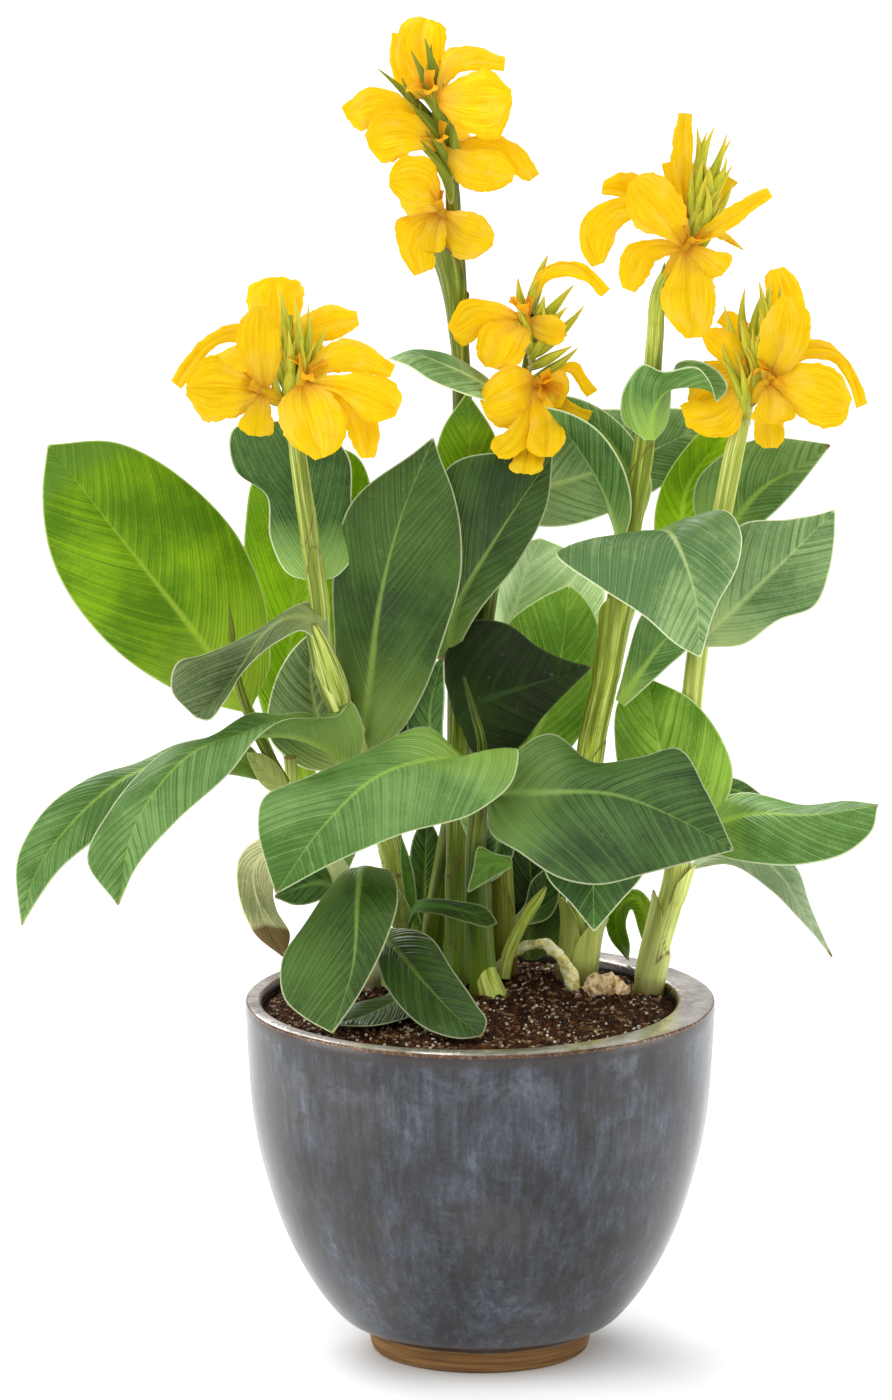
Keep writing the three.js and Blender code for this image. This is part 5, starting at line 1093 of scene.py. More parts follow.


# Sunlit, bright and lit blades are painted lighter and yellower for the light on and through them, and
# sunlit ones carry a painted shadow over the tip; fresh and firm ones are the mid greens of young and old
# blades; deep and shaded ones stand behind others and are painted darker for the shade there; dusky,
# bloomy and pale ones carry a grey bloom of wax, partly a painted sheen; the dried one has faded in stripes
LEAF_FINISHES = {
    "sunlit": leaf_material("leaf_sunlit", "#537f04", "#8fb90f", "#a9c92f", "#b9d247", 0.42, 0.42, 0.5,
                            "#5b8336"),
    "bright": leaf_material("leaf_bright", "#76a306", "#b3dc1c", "#c4e23c", "#cfe457", 0.42, 0.42),
    "lit": leaf_material("leaf_lit", "#5f8f1c", "#a3cb4e", "#b7d765", "#c3da70", 0.4, 0.3),
    "fresh": leaf_material("leaf_fresh", "#487228", "#7ca658", "#9fc27c", "#a8cc56", 0.36, 0.18),
    "firm": leaf_material("leaf_firm", "#274614", "#557c38", "#779c50", "#98bc60", 0.36, 0.12),
    "deep": leaf_material("leaf_deep", "#22390f", "#425f22", "#56742f", "#86a24a", 0.36, 0.06, 0.32),
    "shaded": leaf_material("leaf_shaded", "#121f00", "#263a00", "#2d480c", "#34541a", 0.7, 0.02, 0.05),
    "dusky": leaf_material("leaf_dusky", "#486a38", "#84a266", "#a0b87e", "#b0c47e", 0.38, 0.1),
    "pale": leaf_material("leaf_pale", "#a3bf85", "#dcebc2", "#e6f0cc", "#e6f0c8", 0.46, 0.2),
    "bloomy": leaf_material("leaf_bloomy", "#8dab74", "#c6d8ad", "#d8e4bd", "#dfebc2", 0.46, 0.15),
    "dull": leaf_material("leaf_dulled", "#3a4f22", "#6f8250", "#8e9d6c", "#93a45c", 0.42, 0.08),
    "dried": leaf_material("leaf_dried_skin", "#7c8352", "#d2cf9a", "#f4efc0", "#e6e0aa", 0.6, 0.15),
    "sheath": leaf_material("pale_leaf_base", "#8f9c40", "#c0c878", "#bcc474", "#b4be68", 0.42, 0.25, 0.03),
    "young": leaf_material("young_leaf", "#3c6a10", "#6c9c2e", "#76a63a", "#6c9c2e", 0.42, 0.25, 0.35),
}

# Finish of each leaf, the share of its length from which the tip has dried (2 for a tip that has
# not), how strongly it is puckered, how far its side veins sweep towards the tip, and how much lighter
# or darker it is painted than its finish, for its own tone and for the light or shade it stands in
LEAF_LOOKS = {
    "leaf_left_upright": ("sunlit", 2, 0.5, 1.0, 1.03), "leaf_left_back": ("bright", 2, 0.4, 1.6, 1.06),
    "leaf_left_collar": ("firm", 2, 0.8, 1.6, 1.18), "leaf_left_folded": ("dull", 2, 1.2, 1.2, 0.89),
    "leaf_left_grey": ("dull", 2, 0.6, 1.2, 1.66), "leaf_left_drooping": ("fresh", 0.99, 0.8, 1.4, 0.80),
    "leaf_far_left_drooping": ("fresh", 0.985, 0.9, 1.4, 0.83),
    "leaf_centre_upright": ("deep", 2, 1.0, 1.9, 1.17), "leaf_centre_dark": ("deep", 2, 0.6, 1.6, 1.09),
    "leaf_tall_stem": ("sunlit", 2, 0.5, 1.6, 1.18), "leaf_middle_arching": ("dusky", 2, 1.4, 1.4, 1.36),
    "leaf_back_level": ("dusky", 0.985, 0.9, 1.2, 1.35), "leaf_right_arching": ("firm", 2, 0.5, 1.6, 1.19),
    "leaf_right_behind": ("fresh", 2, 0.5, 1.4, 0.95), "leaf_right_collar": ("fresh", 2, 0.5, 1.4, 1.06),
    "leaf_right_bright": ("bright", 2, 0.4, 1.4, 1.13),
    "leaf_far_right_upper": ("fresh", 0.97, 1.0, 1.2, 0.88),
    "leaf_far_right_wide": ("dusky", 2, 0.7, 1.2, 1.16), "leaf_right_hanging": ("dusky", 2, 0.7, 1.2, 1.17),
    "leaf_right_low": ("fresh", 2, 0.7, 1.2, 1.04), "leaf_right_bright_low": ("lit", 2, 0.5, 1.2, 1.19),
    "leaf_front_right": ("firm", 0.99, 2.2, 0.9, 0.75), "leaf_front_left": ("fresh", 0.99, 0.9, 0.9, 0.90),
    "leaf_centre_shaded": ("shaded", 0.98, 1.0, 1.0, 0.79), "leaf_back_pale": ("pale", 2, 0.6, 1.0, 1.52),
    "leaf_middle_upright": ("lit", 2, 0.5, 1.4, 1.26),
    "leaf_far_right_level": ("fresh", 0.98, 1.0, 1.3, 1.14),
    "leaf_far_right_thin": ("bloomy", 0.96, 0.6, 1.4, 0.77),
    "leaf_front_hanging": ("firm", 2, 0.8, 1.2, 1.48), "leaf_pot_left": ("deep", 0.99, 1.0, 1.3, 1.22),
    "leaf_pot_front": ("deep", 0.975, 0.8, 1.3, 0.79), "leaf_on_soil": ("deep", 2, 0.6, 1.2, 0.98),
    "leaf_dried": ("dried", 0.80, 0.6, 3.0, 1.51), "leaf_small_oval": ("shaded", 2, 0.3, 1.5, 1.84),
}


# Half the thickness of a blade, and how far it stands off the straight line from rib to margin
BLADE_HALF = 0.00035
BLADE_ARCH = 0.07
# Half the width of a blade where it leaves the stalk, and at its tip
FOOT_HALF = 0.006
TIP_HALF = 0.0012


def grow_leaf(name, start, rib, left, right, look, dry_from, pucker, sweep, lightness, rows=78,
              rib_depth=0.0036):
    """One blade on its stalk, as a piece."""
    lines = placed(rib), placed(left), placed(right)
    middle, run, across, edge, share = sheet(*lines, start, FOOT_HALF, TIP_HALF, BLADE_ARCH, rows)
    out = np.abs(across)
    phase = run - out * (sweep + 5 * out)
    soft_edge = np.clip(edge / 0.012, 0, 1) * np.clip(out / 0.010, 0, 1)
    turn = rng.uniform(0, FULL_TURN, 5)
    uneven = 1.3 * np.sin(phase / 0.019 + turn[2]) + (across > 0) * turn[3]
    furrows = np.sin(FULL_TURN * phase / RIDGE + uneven) * (0.6 + 0.4 * np.sin(phase / 0.033 + turn[4]))
    swells = 0.0016 * np.sin(run / 0.027 + turn[2]) * np.sin(across / 0.017 + turn[3])
    ridge = (0.00060 * pucker * furrows * (1.3 - np.abs(SHARES)) + swells) * soft_edge
    waves = np.sin(run / 0.0105 + turn[0]) * np.where(across < 0, 1, -0.8) + np.sin(run / 0.023 + turn[1])
    fade = np.clip(share * 6, 0, 1) * (1 - share)
    flutter = 0.0011 * pucker**0.5 * waves * np.abs(SHARES) ** 3 * fade
    rib_half = 0.0034 * (1 - share) + 0.0009
    rib_form = np.exp(-(across / rib_half) ** 2)
    thin = BLADE_HALF * (1 - 0.5 * SHARES[None, :] ** 8)
    upper = thin + ridge + flutter - 0.0004 * rib_form * (share > 0.02)
    under = thin - ridge - flutter + (rib_depth * (1 - share) + 0.0003) * rib_form
    points, faces = thickened(middle, upper, under)
    spot = np.stack([phase, across, share], 2).reshape(-1, 3)
    count = len(spot)
    marks = np.zeros((2 * count, 3))
    marks[:, 0] = dry_from
    marks[count:, 1] = 1
    marks[:, 2] = rng.uniform(0, 60)
    return make_piece(name + "_blade", points, faces, LEAF_FINISHES[look], sharp=80.0,
                      spot=np.vstack([spot, spot]), edge=np.r_[edge.ravel(), edge.ravel()],
                      marks=marks, lightness=np.full(2 * count, lightness))


for name, start, rib, left, right in LEAVES:
    leaf = grow_leaf(name, start, rib, left, right, *LEAF_LOOKS[name])
    stands_for(leaf, "leaf", name)

# Small leaves on the stems, with dried tips. The last of them stands in the light
for number, (stem_name, start, rib, left, right) in enumerate(STEM_LEAVES, 1):
    finish = "sunlit" if number == len(STEM_LEAVES) else "firm"
    small = grow_leaf("%s_small_leaf_%d" % (stem_name, number), start, rib, left, right,
                      finish, 0.96, 0.3, 1.4, 1.0, 30)
    stands_for(small, "leaf", stem_name)

# ---- Old leaf bases and young leaves ----
# Between the stems stand sheaths left by old leaves and small leaves that are still pushing up.
# They are soft, with cream margins; their finishes are painted pale where light reaches them and dark with
# painted shade at the back.

# Each one's finish, its rib from foot to tip, and its left and its right margin
YOUNG_LEAVES = {
    "young_leaf_front": ("young", [[31, 483, -22], [11, 481, -26], [-12, 453, -27]],
                         [[14, 492, -24], [-1, 499, -27], [-7, 476, -28]], [[22, 472, -25], [4, 461, -28]]),
    "narrow_base_left": ("young", [[-64, 420, 46], [-71, 465, 42], [-79, 508, 40]],
                         [[-72, 430, 46], [-80, 480, 42]], [[-60, 428, 46], [-68, 480, 42]]),
    "green_base_left": ("sheath", [[-78, 408, 40], [-78, 432, 38], [-82, 456, 38]],
                        [[-87, 415, 42], [-88, 442, 40]], [[-69, 412, 40], [-71, 440, 38]]),
    "dark_leaf_left": ("deep", [[-58, 380, 110], [-56, 450, 113], [-54, 530, 116]],
                       [[-74, 395, 108], [-72, 460, 112], [-66, 510, 115]],
                       [[-42, 395, 110], [-38, 460, 113], [-42, 510, 115]]),
    "dark_leaf_centre": ("shaded", [[-8, 380, 112], [-6, 450, 114], [-4, 540, 118]],
                         [[-32, 395, 112], [-34, 460, 114], [-26, 520, 117]],
                         [[18, 395, 112], [20, 460, 115], [14, 520, 117]]),
    "dark_leaf_right": ("deep", [[50, 385, 118], [52, 440, 121], [48, 510, 125]],
                        [[24, 400, 117], [20, 450, 120], [28, 495, 124]],
                        [[80, 400, 118], [86, 450, 121], [74, 495, 125]]),
    "shoot_left_tip": ("sheath", [[-196, 554, -16], [-214, 573, -22], [-233, 592, -24]],
                       [[-214, 556, -18], [-228, 576, -24]], [[-198, 574, -16], [-220, 592, -22]]),
}
for name, (look, rib, left, right) in YOUNG_LEAVES.items():
    young = grow_leaf(name, 0, rib, left, right, look, 2, 0.3, 1.4, 1.0, 40, 0.0008)
    stands_for(young, "leaf")

# ---- Flowers ----
# Golden canna blooms: a short tube opens into broad petal-like stamens with rippled edges, round
# a few narrow orange ones. Each stands on a small warty green seed case with three pale sepals.

# Each bloom: the foot of its tube, its throat, and for each petal its rib and its two margins
FLOWERS = [
  ["flower_left_front", [-190, 940, -30], [-216, 953, -48], [
    [[[-220, 1000, -62], [-220, 1039, -55]],
      [[-234, 975, -60], [-244, 1000, -66], [-238, 1027, -62]],
      [[-202, 975, -56], [-199, 995, -58], [-204, 1026, -58]]],
    [[[-260, 957, -75], [-294, 957, -85]],
      [[-242, 929, -72], [-276, 925, -85]],
      [[-240, 973, -62], [-272, 990, -72]]],
    [[[-222, 927, -75], [-225, 909, -80]],
      [[-208, 930, -70], [-208, 911, -76]],
      [[-234, 933, -74], [-242, 919, -80]]],
    [[[-243, 1012, -35], [-272, 1000, -45], [-304, 960, -50]],
      [[-236, 1000, -38], [-257, 1002, -42], [-284, 976, -52]],
      [[-240, 1022, -32], [-264, 1015, -36], [-294, 988, -48]]],
    [[[-225, 985, 0], [-250, 975, 25], [-270, 950, 40]],
      [[-228, 955, 5], [-250, 940, 30]],
      [[-235, 1000, 5], [-268, 985, 32]]]]],
  ["flower_left_right", [-188, 935, -30], [-178, 963, -45], [
    [[[-168, 925, -78], [-158, 887, -85]],
      [[-150, 952, -68], [-133, 922, -82], [-141, 896, -86]],
      [[-202, 939, -66], [-190, 902, -82]]],
    [[[-125, 953, -65], [-82, 935, -70]],
      [[-135, 971, -58], [-95, 968, -60], [-78, 950, -66]],
      [[-144, 952, -68], [-104, 922, -80]]],
    [[[-134, 945, -48], [-114, 915, -50], [-112, 887, -54]],
      [[-110, 936, -48], [-100, 910, -52]],
      [[-136, 925, -50], [-128, 900, -56]]],
    [[[-130, 992, -44], [-87, 974, -48]],
      [[-152, 1001, -34], [-126, 1006, -38], [-100, 991, -44]],
      [[-150, 972, -44], [-112, 970, -52]]]]],
  ["flower_left_top", [-190, 965, -29], [-192, 992, -20], [
    [[[-155, 1020, -16], [-122, 1027, -18]],
      [[-176, 1030, -10], [-148, 1040, -12]],
      [[-160, 1002, -20], [-134, 1010, -22]]],
    [[[-205, 1040, 5], [-205, 1068, 8]],
      [[-232, 1036, 5], [-230, 1060, 8]],
      [[-178, 1036, 5], [-178, 1062, 8]]],
    [[[-180, 1005, 25], [-165, 1000, 55]],
      [[-205, 1010, 28], [-192, 1010, 55]],
      [[-155, 985, 22], [-140, 985, 48]]]]],
  ["flower_tall_low", [-26, 1105, 85], [-38, 1132, 66], [
    [[[-65, 1165, 42], [-91, 1165, 32]],
      [[-48, 1140, 44], [-74, 1138, 34]],
      [[-50, 1186, 50], [-79, 1188, 38]]],
    [[[-60, 1112, 48], [-68, 1095, 42], [-60, 1071, 38]],
      [[-48, 1105, 46], [-46, 1078, 40]],
      [[-84, 1122, 48], [-80, 1092, 38]]],
    [[[-44, 1112, 46], [-46, 1093, 40]],
      [[-34, 1113, 46], [-35, 1098, 40]],
      [[-56, 1118, 46], [-58, 1101, 40]]],
    [[[-10, 1110, 48], [14, 1105, 42]],
      [[-28, 1134, 54], [0, 1131, 44]],
      [[-28, 1088, 52], [-2, 1088, 42]]],
    [[[-60, 1155, 105], [-80, 1145, 135]],
      [[-45, 1130, 100], [-65, 1120, 128]],
      [[-62, 1178, 112], [-85, 1170, 138]]]]],
  ["flower_tall_middle", [-28, 1165, 85], [-38, 1196, 68], [
    [[[5, 1178, 52], [34, 1169, 45]],
      [[-10, 1194, 60], [18, 1194, 50]],
      [[-17, 1158, 58], [20, 1156, 46]]],
    [[[-10, 1208, 82], [25, 1204, 82], [54, 1167, 75]],
      [[18, 1210, 86], [46, 1193, 80]],
      [[14, 1192, 80], [38, 1168, 74]]],
    [[[-105, 1247, 58], [-136, 1232, 54]],
      [[-88, 1222, 56], [-124, 1216, 52]],
      [[-80, 1250, 66], [-110, 1258, 60]]],
    [[[-82, 1212, 45], [-113, 1203, 38]],
      [[-66, 1194, 48], [-97, 1182, 38]],
      [[-70, 1232, 52], [-103, 1236, 44]]],
    [[[-15, 1212, 120], [0, 1195, 145]],
      [[-38, 1225, 122], [-20, 1215, 145]],
      [[0, 1190, 110], [16, 1178, 132]]]]],
  ["flower_tall_top", [-31, 1215, 85], [-46, 1246, 70], [
    [[[-56, 1276, 106], [-62, 1305, 112], [-54, 1327, 106]],
      [[-76, 1274, 106], [-84, 1306, 112], [-72, 1326, 106]],
      [[-38, 1275, 104], [-34, 1304, 108], [-38, 1322, 104]]],
    [[[-70, 1256, 88], [-84, 1276, 92], [-82, 1312, 96]],
      [[-78, 1252, 86], [-90, 1282, 92]],
      [[-66, 1266, 90], [-76, 1290, 96]]],
    [[[-5, 1284, 78], [25, 1281, 76]],
      [[-28, 1298, 82], [0, 1297, 80]],
      [[-20, 1272, 76], [5, 1275, 74]]],
    [[[0, 1245, 48], [32, 1248, 42]],
      [[-22, 1266, 56], [8, 1276, 46]],
      [[-18, 1215, 52], [18, 1207, 42]]],
    [[[-55, 1268, 105], [-68, 1285, 125]],
      [[-70, 1252, 102], [-84, 1270, 120]],
      [[-38, 1272, 108], [-50, 1296, 128]]]]],
  ["flower_middle_top", [50, 998, 88], [46, 1024, 76], [
    [[[54, 1062, 78], [80, 1084, 74], [108, 1073, 68], [126, 1052, 62]],
      [[58, 1072, 76], [102, 1082, 66]],
      [[72, 1066, 76], [104, 1064, 66]]],
    [[[-5, 1030, 58], [-29, 1013, 52]],
      [[2, 1010, 60], [-21, 1000, 52]],
      [[12, 1044, 62], [-18, 1044, 54]]],
    [[[22, 1008, 52], [12, 977, 46]],
      [[50, 1010, 62], [40, 983, 48]],
      [[4, 1020, 52], [-3, 988, 44]]],
    [[[70, 1016, 64], [85, 1013, 60]],
      [[62, 1030, 68], [80, 1027, 62]],
      [[65, 1001, 66], [80, 1001, 60]]],
    [[[46, 1030, 115], [40, 1015, 145]],
      [[22, 1030, 112], [18, 1018, 138]],
      [[68, 1020, 110], [62, 1008, 138]]]]],
  ["flower_middle_low", [46, 965, 88], [56, 962, 74], [
    [[[76, 958, 66], [74, 938, 60]],
      [[84, 974, 68], [89, 952, 62]],
      [[64, 946, 64], [62, 938, 60]]],
    [[[95, 976, 82], [112, 951, 80]],
      [[98, 982, 83], [108, 967, 81]],
      [[86, 974, 82], [101, 956, 80]]],
    [[[85, 940, 70], [110, 928, 66]],
      [[90, 944, 70], [104, 936, 67]],
      [[78, 934, 70], [96, 926, 66]]],
    [[[30, 950, 40], [2, 938, 32]],
      [[46, 925, 50], [18, 917, 34]],
      [[44, 978, 56], [20, 976, 42], [4, 958, 34]]],
    [[[68, 915, 28], [66, 888, 8]],
      [[78, 928, 34], [85, 902, 10]],
      [[50, 920, 30], [50, 893, 8]]],
    [[[32, 907, 20], [14, 892, 4]],
      [[44, 896, 18], [28, 886, 4]],
      [[26, 914, 22], [12, 904, 8]]],
    [[[48, 897, 32], [44, 871, 2]],
      [[64, 886, 20], [60, 873, 2]],
      [[34, 890, 20], [31, 874, 2]]]]],
  ["flower_right_open", [183, 1064, 39], [206, 1098, 16], [
    [[[180, 1130, -12], [153, 1165, -20]],
      [[186, 1106, -8], [152, 1122, -22], [146, 1147, -24]],
      [[206, 1135, -2], [190, 1162, -14], [168, 1173, -20]]],
    [[[160, 1150, 34], [122, 1157, 30]],
      [[172, 1135, 28], [146, 1147, 26]],
      [[166, 1168, 36], [138, 1172, 32]]],
    [[[165, 1138, 14], [125, 1134, 8], [108, 1108, 2], [118, 1080, -2]],
      [[170, 1124, 14], [144, 1122, 12], [130, 1095, 2]],
      [[170, 1150, 16], [136, 1147, 10], [104, 1128, 4], [101, 1095, -2]]],
    [[[165, 1097, 2], [148, 1055, -5]],
      [[176, 1083, 5], [164, 1062, -3]],
      [[176, 1106, 6], [145, 1097, 0], [139, 1070, -5]]],
    [[[208, 1050, -15], [213, 1007, -22]],
      [[232, 1068, -8], [235, 1035, -18], [226, 1012, -22]],
      [[192, 1075, -8], [180, 1045, -18], [198, 1014, -24]]],
    [[[232, 1086, -4], [246, 1074, -10]],
      [[238, 1094, -2], [252, 1088, -8]],
      [[220, 1078, -4], [232, 1066, -10]]],
    [[[258, 1130, 4], [290, 1153, 0]],
      [[246, 1136, 8], [272, 1151, 4]],
      [[254, 1118, 0], [280, 1139, -4]]]]],
  ["flower_right_top", [192, 1082, 37], [206, 1122, 34], [
    [[[203, 1185, 22], [205, 1232, 20]],
      [[191, 1160, 24], [192, 1200, 22]],
      [[212, 1160, 22], [213, 1198, 20]]],
    [[[194, 1155, 12], [188, 1183, 10]],
      [[186, 1145, 12], [185, 1168, 10]],
      [[202, 1150, 12], [198, 1172, 10]]],
    [[[242, 1148, 48], [253, 1166, 50]],
      [[230, 1146, 50], [244, 1164, 52]],
      [[240, 1138, 46], [252, 1156, 48]]],
    [[[225, 1120, 85], [240, 1105, 115]],
      [[200, 1125, 88], [215, 1115, 118]],
      [[248, 1108, 78], [262, 1095, 105]]]]],
  ["flower_far_right_open", [264, 935, 28], [286, 962, 6], [
    [[[305, 1010, -15], [308, 1049, -18]],
      [[278, 992, -10], [288, 1034, -16]],
      [[320, 985, -14], [330, 1030, -18]]],
    [[[335, 954, -22], [370, 940, -32]],
      [[325, 982, -10], [358, 974, -26]],
      [[312, 935, -16], [345, 917, -30], [366, 925, -34]]],
    [[[292, 940, -20], [290, 921, -28]],
      [[308, 945, -18], [315, 927, -26]],
      [[280, 943, -18], [270, 927, -26]]],
    [[[288, 925, -4], [290, 897, -8]],
      [[304, 922, -4], [303, 904, -8]],
      [[274, 920, -4], [276, 903, -8]]],
    [[[318, 996, 22], [358, 992, 18], [382, 939, 10]],
      [[314, 1005, 22], [347, 1003, 22], [376, 972, 14]],
      [[322, 984, 18], [350, 984, 16], [370, 958, 10]]]]],
  ["flower_far_right_left", [262, 925, 28], [270, 962, 14], [
    [[[242, 957, 30], [212, 940, 40]],
      [[256, 940, 22], [228, 922, 34]],
      [[254, 980, 28], [226, 984, 40], [209, 964, 44]]],
    [[[232, 930, 18], [205, 925, 24]],
      [[248, 908, 16], [218, 912, 22]],
      [[228, 946, 22], [200, 938, 28]]],
    [[[248, 995, 14], [225, 1012, 18]],
      [[244, 978, 16], [228, 996, 18]],
      [[262, 1003, 16], [240, 1018, 18]]]]],
  ["flower_far_right_top", [274, 968, 26], [284, 1006, 38], [
    [[[305, 1050, 42], [298, 1077, 44]],
      [[286, 1048, 42], [286, 1070, 44]],
      [[325, 1038, 42], [318, 1063, 44]]],
    [[[255, 1018, 50], [240, 1028, 54]],
      [[258, 1006, 50], [244, 1016, 54]],
      [[266, 1024, 50], [252, 1034, 54]]],
    [[[300, 995, 85], [310, 980, 112]],
      [[276, 1000, 88], [288, 990, 115]],
      [[318, 982, 80], [330, 970, 104]]]]],
]

# Petals: thin, silky, yellow through and through, with fine lengthwise veins about 1 mm apart, pale
# streaks of painted highlight, and rusty pink streaks that fade out of the throat
petal_silk, t = new_material("silky_petal")
at = add(t, "TexCoord").outputs["Object"]
spot = add(t, "Attribute", attribute_name="spot").outputs["Vector"]
marks = add(t, "Attribute", attribute_name="marks").outputs["Vector"]
lightness = add(t, "Attribute", attribute_name="lightness").outputs["Fac"]
run = add(t, "SeparateXYZ", {0: spot}).outputs["X"]
which, across, orange = add(t, "SeparateXYZ", {0: marks}).outputs
flat = add(t, "CombineXYZ", {0: run, 1: across, 2: which})
veins, highlight_streaks, threads = [
    add(t, "TexNoise", {"Vector": add(t, "VectorMath", {0: flat, 1: stretch}, operation="MULTIPLY"),
                        "Scale": 1.0, "Detail": detail, "Roughness": roughness})
    for stretch, detail, roughness in (((26, 19, 1), 5, 0.6), ((34, 1.8, 1), 3, 0.5), ((30, 34, 1), 3, 0.5))]
blush = add(t, "TexNoise", {"Vector": at, "Scale": 60.0, "Detail": 5.0, "Roughness": 0.6})
grain = add(t, "TexNoise", {"Vector": at, "Scale": 700.0, "Detail": 3.0})
gold = add(t, "ValToRGB", {0: veins}, stops=[(0.3, "#f0c703"), (0.5, "#fbdc04"), (0.68, "#ffeb26")])
blushed = painted(t, gold, "#f0c404", blush, 0.5, 0.72, 0.5)
# Pale lengthwise streaks: painted highlights of the silky sheen
with_highlights = painted(t, blushed, "#fde264", highlight_streaks, 0.5, 0.75, 0.6)
from_throat = summed(t, (run, 1), (blush, 0.03))
creamy = painted(t, with_highlights, "#f4d468", from_throat, 0.050, 0.018, 0.42)
near_throat = add(t, "MapRange", {0: from_throat, 1: 0.050, 2: 0.018, 3: 0.08, 4: 0.6})
pink_lines = add(t, "MapRange", {0: threads, 1: 0.5, 2: 0.6})
pink_veins = add(t, "Math", {0: near_throat, 1: pink_lines}, operation="MULTIPLY")
flushed = add(t, "Mix", {0: pink_veins, 6: creamy, 7: colour("#dd9440")}, data_type="RGBA")
freckled = painted(t, flushed, "#e39c26", grain, 0.6, 0.74, 0.16)
deep_throat = painted(t, freckled, "#e98a18", run, 0.014, 0.002, 0.5)
inner = add(t, "Mix", {0: orange, 6: deep_throat, 7: colour("#f4a414")}, data_type="RGBA")
toned = add(t, "HueSaturation", {"Color": inner, "Value": lightness})
normal = add(t, "Bump", {"Height": veins, "Strength": 0.3, "Distance": 0.0003})
silk = add(t, "BsdfPrincipled", {
    "Base Color": toned, "Roughness": 0.5, "IOR": 1.4, "Specular IOR Level": 0.2, "Normal": normal})
glow = add(t, "BsdfTranslucent", {"Color": toned, "Normal": normal})
add(t, "OutputMaterial", {0: add(t, "MixShader", {0: 0.48, 1: silk, 2: glow})})

# Seed case and sepals: dull green skin covered in small soft warts about 1 mm across
seed_case, t = new_material("warty_seed_case")
at = add(t, "TexCoord").outputs["Object"]
warts = add(t, "TexVoronoi", {"Vector": at, "Scale": 700.0}).outputs["Distance"]
shader = add(t, "BsdfPrincipled", {
    "Base Color": add(t, "ValToRGB", {0: warts}, stops=[(0.1, "#b7b552"), (0.6, "#7d8c38")]),
    "Roughness": 0.55, "Normal": add(t, "Bump", {"Height": warts, "Strength": 0.7, "Distance": 0.0008})})
add(t, "OutputMaterial", {0: shader})

# Some blooms are painted a darker gold than the rest, each by its own factor
DARKER_BLOOMS = {
    "flower_left_front": 0.90, "flower_tall_low": 0.93, "flower_tall_middle": 0.95, "flower_right_open": 0.93,
    "flower_right_top": 0.88, "flower_far_right_open": 0.92}
PETAL_SHARES = np.array([0, 0.08, 0.18, 0.3, 0.43, 0.56, 0.68, 0.79, 0.88, 0.95, 1.0])
PETAL_SHARES = np.r_[-PETAL_SHARES[:0:-1], PETAL_SHARES]
# Half the thickness of a petal, half its width at the foot and at the tip, and how far it arches
PETAL_HALF = 0.00028
PETAL_ENDS = (0.003, 0.0065)
PETAL_ARCH = 0.12
# The tube widens from the seed case to the throat and closes just past it. The inner petals and
# the sepals stand a third of a turn apart
TUBE_RADII = np.array([0.0035, 0.0062, 0.0072, 0.0035])
BEYOND_THROAT = 0.0075
PART_SPACING = 2.1


def petal(rib, left, right, ripple, orange, rows=30):
    """One petal: points, faces, and for each point its run, across, share, and marks."""
    middle, run, across, _, share = sheet(rib, left, right, 0.0, *PETAL_ENDS, PETAL_ARCH, rows, PETAL_SHARES)
    turn = rng.uniform(0, FULL_TURN, 8)
    side = np.where(PETAL_SHARES < 0, 0.0, 1.7)[None, :]
    opening = np.clip(share * 3, 0, 1)
    ragged = (0.024 * np.sin(run / 0.0047 + turn[0] + side) + 0.020 * np.sin(run / 0.0019 + turn[1] - side)
              + 0.020 * np.sin(run / 0.0009 + turn[2]))
    spread = middle - middle[:, len(PETAL_SHARES) // 2][:, None]
    middle = middle + spread * (ragged * np.abs(PETAL_SHARES) ** 5 * opening)[..., None]
    waves = (np.sin(run / 0.0045 + turn[3] + side) + 0.6 * np.sin(run / 0.0021 + turn[4] - side)
             + 0.35 * np.sin(run / 0.0012 + turn[5]))
    flutter = ripple * waves * np.abs(PETAL_SHARES) ** 2.2 * opening
    folds = (np.sin(PETAL_SHARES * 7 + turn[6])[None, :]
             + 0.6 * np.sin(PETAL_SHARES * 17 + turn[7] + 3 * share))
    crease = 0.00012 * folds * np.sin(np.pi * np.clip(share, 0, 1))
    thin = np.full(middle.shape[:2], PETAL_HALF)
    points, faces = thickened(middle, thin + flutter + crease, thin - flutter - crease)
    marks = np.full(middle.shape, (rng.uniform(0, 50), 0, orange))
    marks[..., 1] = PETAL_SHARES
    values = np.concatenate([np.stack([run, across, share], 2), marks], 2).reshape(-1, 6)
    return points, faces, np.vstack([values, values])


def around(axis, turn):
    """Which way a part leans out from a flower's axis."""
    across_axis = unit(np.cross(axis, [0.2, 1.0, 0.3]))
    return across_axis * math.cos(turn) + np.cross(axis, across_axis) * math.sin(turn)


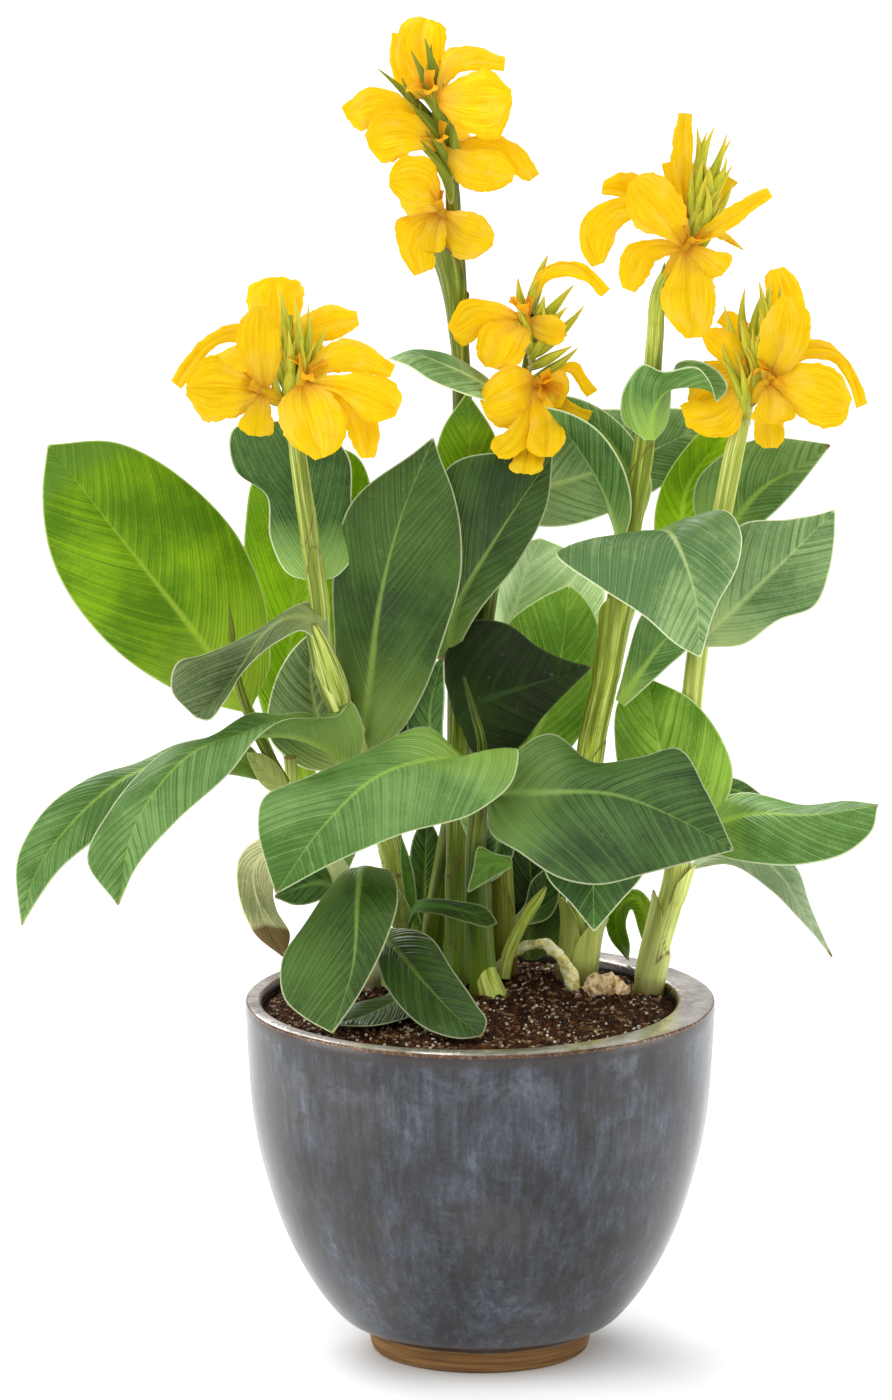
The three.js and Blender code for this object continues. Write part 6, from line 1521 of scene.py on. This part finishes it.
for name, foot_spot, throat_spot, petals in FLOWERS:
    foot, throat = placed([foot_spot, throat_spot])
    axis = unit(throat - foot)
    tube_line = np.linspace(foot, throat + axis * BEYOND_THROAT, len(TUBE_RADII))
    made, faces, where = round_tube(tube_line, TUBE_RADII, 20, 16)
    values = np.zeros((len(where), 6))
    values[:, 0], values[:, 1:3], values[:, 5] = 0.02, where[:, ::-1], 0.12
    grown = [(made, faces, values)]
    for rib, left, right in petals:
        grown.append(petal(np.vstack([throat, placed(rib)]), placed(left), placed(right), 0.0009, 0.0))
    for k in range(4):
        lean = around(axis, PART_SPACING * k + rng.uniform(-0.4, 0.4))
        reach = rng.uniform(0.026, 0.036)
        bend = rng.uniform(0.2, 0.75)
        rib = np.array([throat, throat + axis * reach * 0.5 + lean * reach * 0.2,
                        throat + axis * reach * (1 - 0.4 * bend) + lean * reach * bend])
        wide = np.cross(axis, lean) * rng.uniform(0.0035, 0.006)
        grown.append(petal(rib, rib[1:2] - wide + axis * 0.004, rib[1:2] + wide + axis * 0.004, 0.0005,
                           0.2 if k % 2 else 0.45, 12))
    made, faces, values = joined(grown)
    bloom = make_piece(name + "_bloom", made, faces, petal_silk, sharp=80.0, spot=values[:, :3],
                       marks=values[:, 3:], lightness=np.full(len(made), DARKER_BLOOMS.get(name, 1.0)))
    stands_for(bloom, "petal", name)
    case = [spindle(foot - axis * 0.006, foot + axis * 0.010, 0.0056, 12, 14)]
    for k in range(3):
        lean = around(axis, PART_SPACING * k)
        case.append(spindle(foot + axis * 0.006 + lean * 0.0035, foot + axis * 0.022 + lean * 0.009,
                            0.0016, 8, 8))
    made, faces, _ = joined(case)
    stands_for(make_piece(name + "_seed_case", made, faces, seed_case), "petal")

# ---- Floor, light and camera ----
# A wide white sheet of studio paper, with a broad soft lamp above, a lamp behind the plant that
# shines through its leaves, and a soft box at each side, the stronger at the left.

paper, t = new_material("studio_paper")
grain = add(t, "TexNoise", {"Scale": 900.0})
shader = add(t, "BsdfPrincipled", {
    "Base Color": add(t, "ValToRGB", {0: grain}, stops=[(0.3, "#f4f4f3"), (0.7, "#fafaf9")]),
    "Roughness": 0.9})
add(t, "OutputMaterial", {0: shader})
floor_corners = [(x, y, 0.0) for x, y in ((-60, -60), (60, -60), (60, 60), (-60, 60))]
floor = make_piece("studio_floor", floor_corners, [(0, 1, 2, 3)], paper)

sky = bpy.data.worlds.new("studio_air")
sky.use_nodes = True
sky.node_tree.nodes["Background"].inputs[0].default_value = colour("#ffffff")
sky.node_tree.nodes["Background"].inputs[1].default_value = 0.5
bpy.context.scene.world = sky


def far_lamp(name, turn, height, power, softness):
    """A far lamp: its compass turn from the front towards the right, height and softness in degrees."""
    light = bpy.data.lights.new(name, "SUN")
    light.energy = power
    light.angle = math.radians(softness)
    made = bpy.data.objects.new(name, light)
    made.rotation_euler = (math.radians(90 - height), 0, math.radians(turn))
    bpy.context.scene.collection.objects.link(made)


def soft_box(name, x, y, power):
    """A tall soft box that stands beside the pot and faces the plant."""
    light = bpy.data.lights.new(name, "AREA")
    light.shape = "RECTANGLE"
    light.size = 1.6
    light.size_y = 2.4
    light.energy = power
    made = bpy.data.objects.new(name, light)
    made.location = (x, y, 1.0)
    made.rotation_euler = (math.pi / 2, 0, math.atan2(y, x) + math.pi / 2)
    made.visible_camera = False
    bpy.context.scene.collection.objects.link(made)


far_lamp("top_lamp", -18, 68, 2.2, 85)
far_lamp("back_lamp", 205, 40, 2.0, 40)
soft_box("left_soft_box", -2.3, -0.7, 32)
soft_box("right_soft_box", 2.3, -0.3, 24)

# The camera stands 12 metres off with a long lens, looks down a little, and takes in 1.4 metres
SEEN_HEIGHT = 1400
lens = bpy.data.cameras.new("studio_camera")
lens.sensor_width = 36.0
lens.lens = lens.sensor_width * EYE_DISTANCE / SEEN_HEIGHT
lens.clip_end = 200.0
camera = bpy.data.objects.new("studio_camera", lens)
camera.location = EYE / 1000
camera.rotation_euler = (math.pi / 2 - EYE_TILT, 0, 0)
bpy.context.scene.collection.objects.link(camera)
bpy.context.scene.camera = camera
bpy.context.scene.view_settings.view_transform = "Standard"
